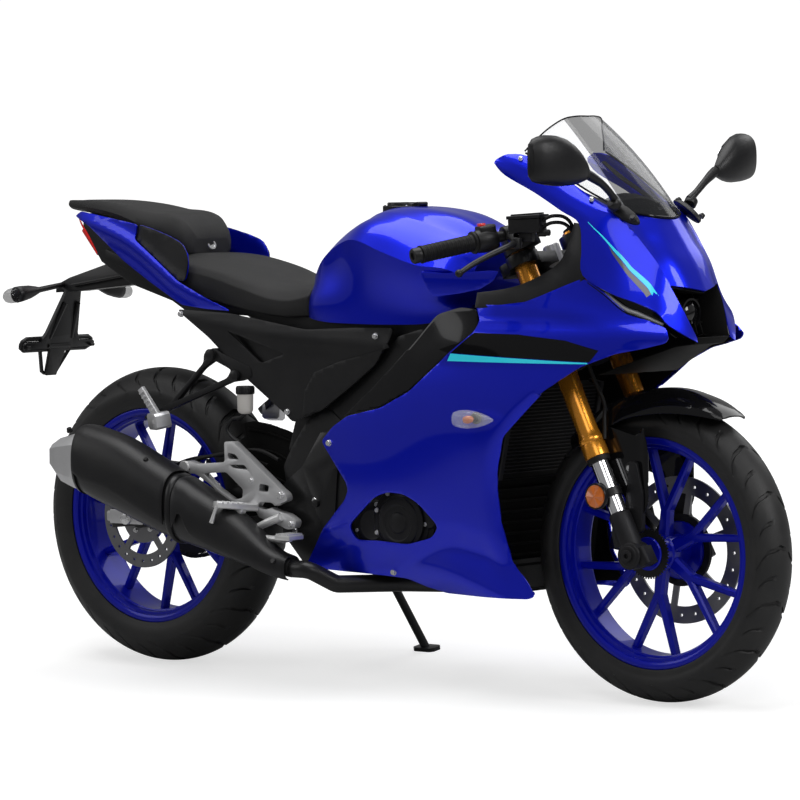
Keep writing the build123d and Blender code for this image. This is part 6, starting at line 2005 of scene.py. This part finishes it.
class BikeSizes(bpy.types.PropertyGroup):
    """Sizes of the details, and the level of the light"""
    grooves: bpy.props.IntProperty(name="Tread grooves", description="Grooves round each tyre", default=34,
        min=12, max=60)
    tread_depth: bpy.props.FloatProperty(name="Tread depth", description="How deep the grooves are cut",
        default=0.0052, min=0.001, max=0.006, unit="LENGTH")
    light: bpy.props.FloatProperty(name="Lamp level", description="Share of the lamps' usual power",
        default=1.0, min=0.1, max=3)
    ambient: bpy.props.FloatProperty(name="Surround level", description="Light that the surround gives",
        default=0.05, min=0, max=1)


PIECES = (BIKE_OT_wheels, BIKE_OT_tank, BIKE_OT_seats, BIKE_OT_tail, BIKE_OT_side_covers, BIKE_OT_fairing,
    BIKE_OT_nose, BIKE_OT_screen, BIKE_OT_mirrors, BIKE_OT_front_indicators, BIKE_OT_fork,
    BIKE_OT_front_fender, BIKE_OT_controls, BIKE_OT_exhaust, BIKE_OT_foot_controls, BIKE_OT_rear_brake,
    BIKE_OT_drive, BIKE_OT_engine, BIKE_OT_plate_holder, BIKE_OT_kept_shapes, BIKE_OT_stage)


class BIKE_PT_dress(bpy.types.Panel):
    """Buttons for each group of pieces, with the colours and sizes above them"""
    bl_idname = "BIKE_PT_dress"
    bl_label = "Faired sport motorcycle"
    bl_space_type = "VIEW_3D"
    bl_region_type = "UI"
    bl_category = "Motorcycle"

    def draw(self, context):
        for group in (context.scene.bike_colours, context.scene.bike_sizes):
            for name in group.__annotations__:
                self.layout.prop(group, name)
        for operator in PIECES:
            self.layout.operator(operator.bl_idname)


CLASSES = (BikeColours, BikeSizes, *PIECES, BIKE_PT_dress)


def register():
    """Add the classes, and the two groups of settings to the scene."""
    for each in CLASSES:
        bpy.utils.register_class(each)
    bpy.types.Scene.bike_colours = bpy.props.PointerProperty(type=BikeColours)
    bpy.types.Scene.bike_sizes = bpy.props.PointerProperty(type=BikeSizes)


def unregister():
    """Take away what register added."""
    del bpy.types.Scene.bike_sizes
    del bpy.types.Scene.bike_colours
    for each in reversed(CLASSES):
        bpy.utils.unregister_class(each)


def main():
    """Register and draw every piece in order."""
    register()
    for operator in PIECES:
        group, call = operator.bl_idname.split(".")
        getattr(getattr(bpy.ops, group), call)()


if __name__ == "__main__":
    main()
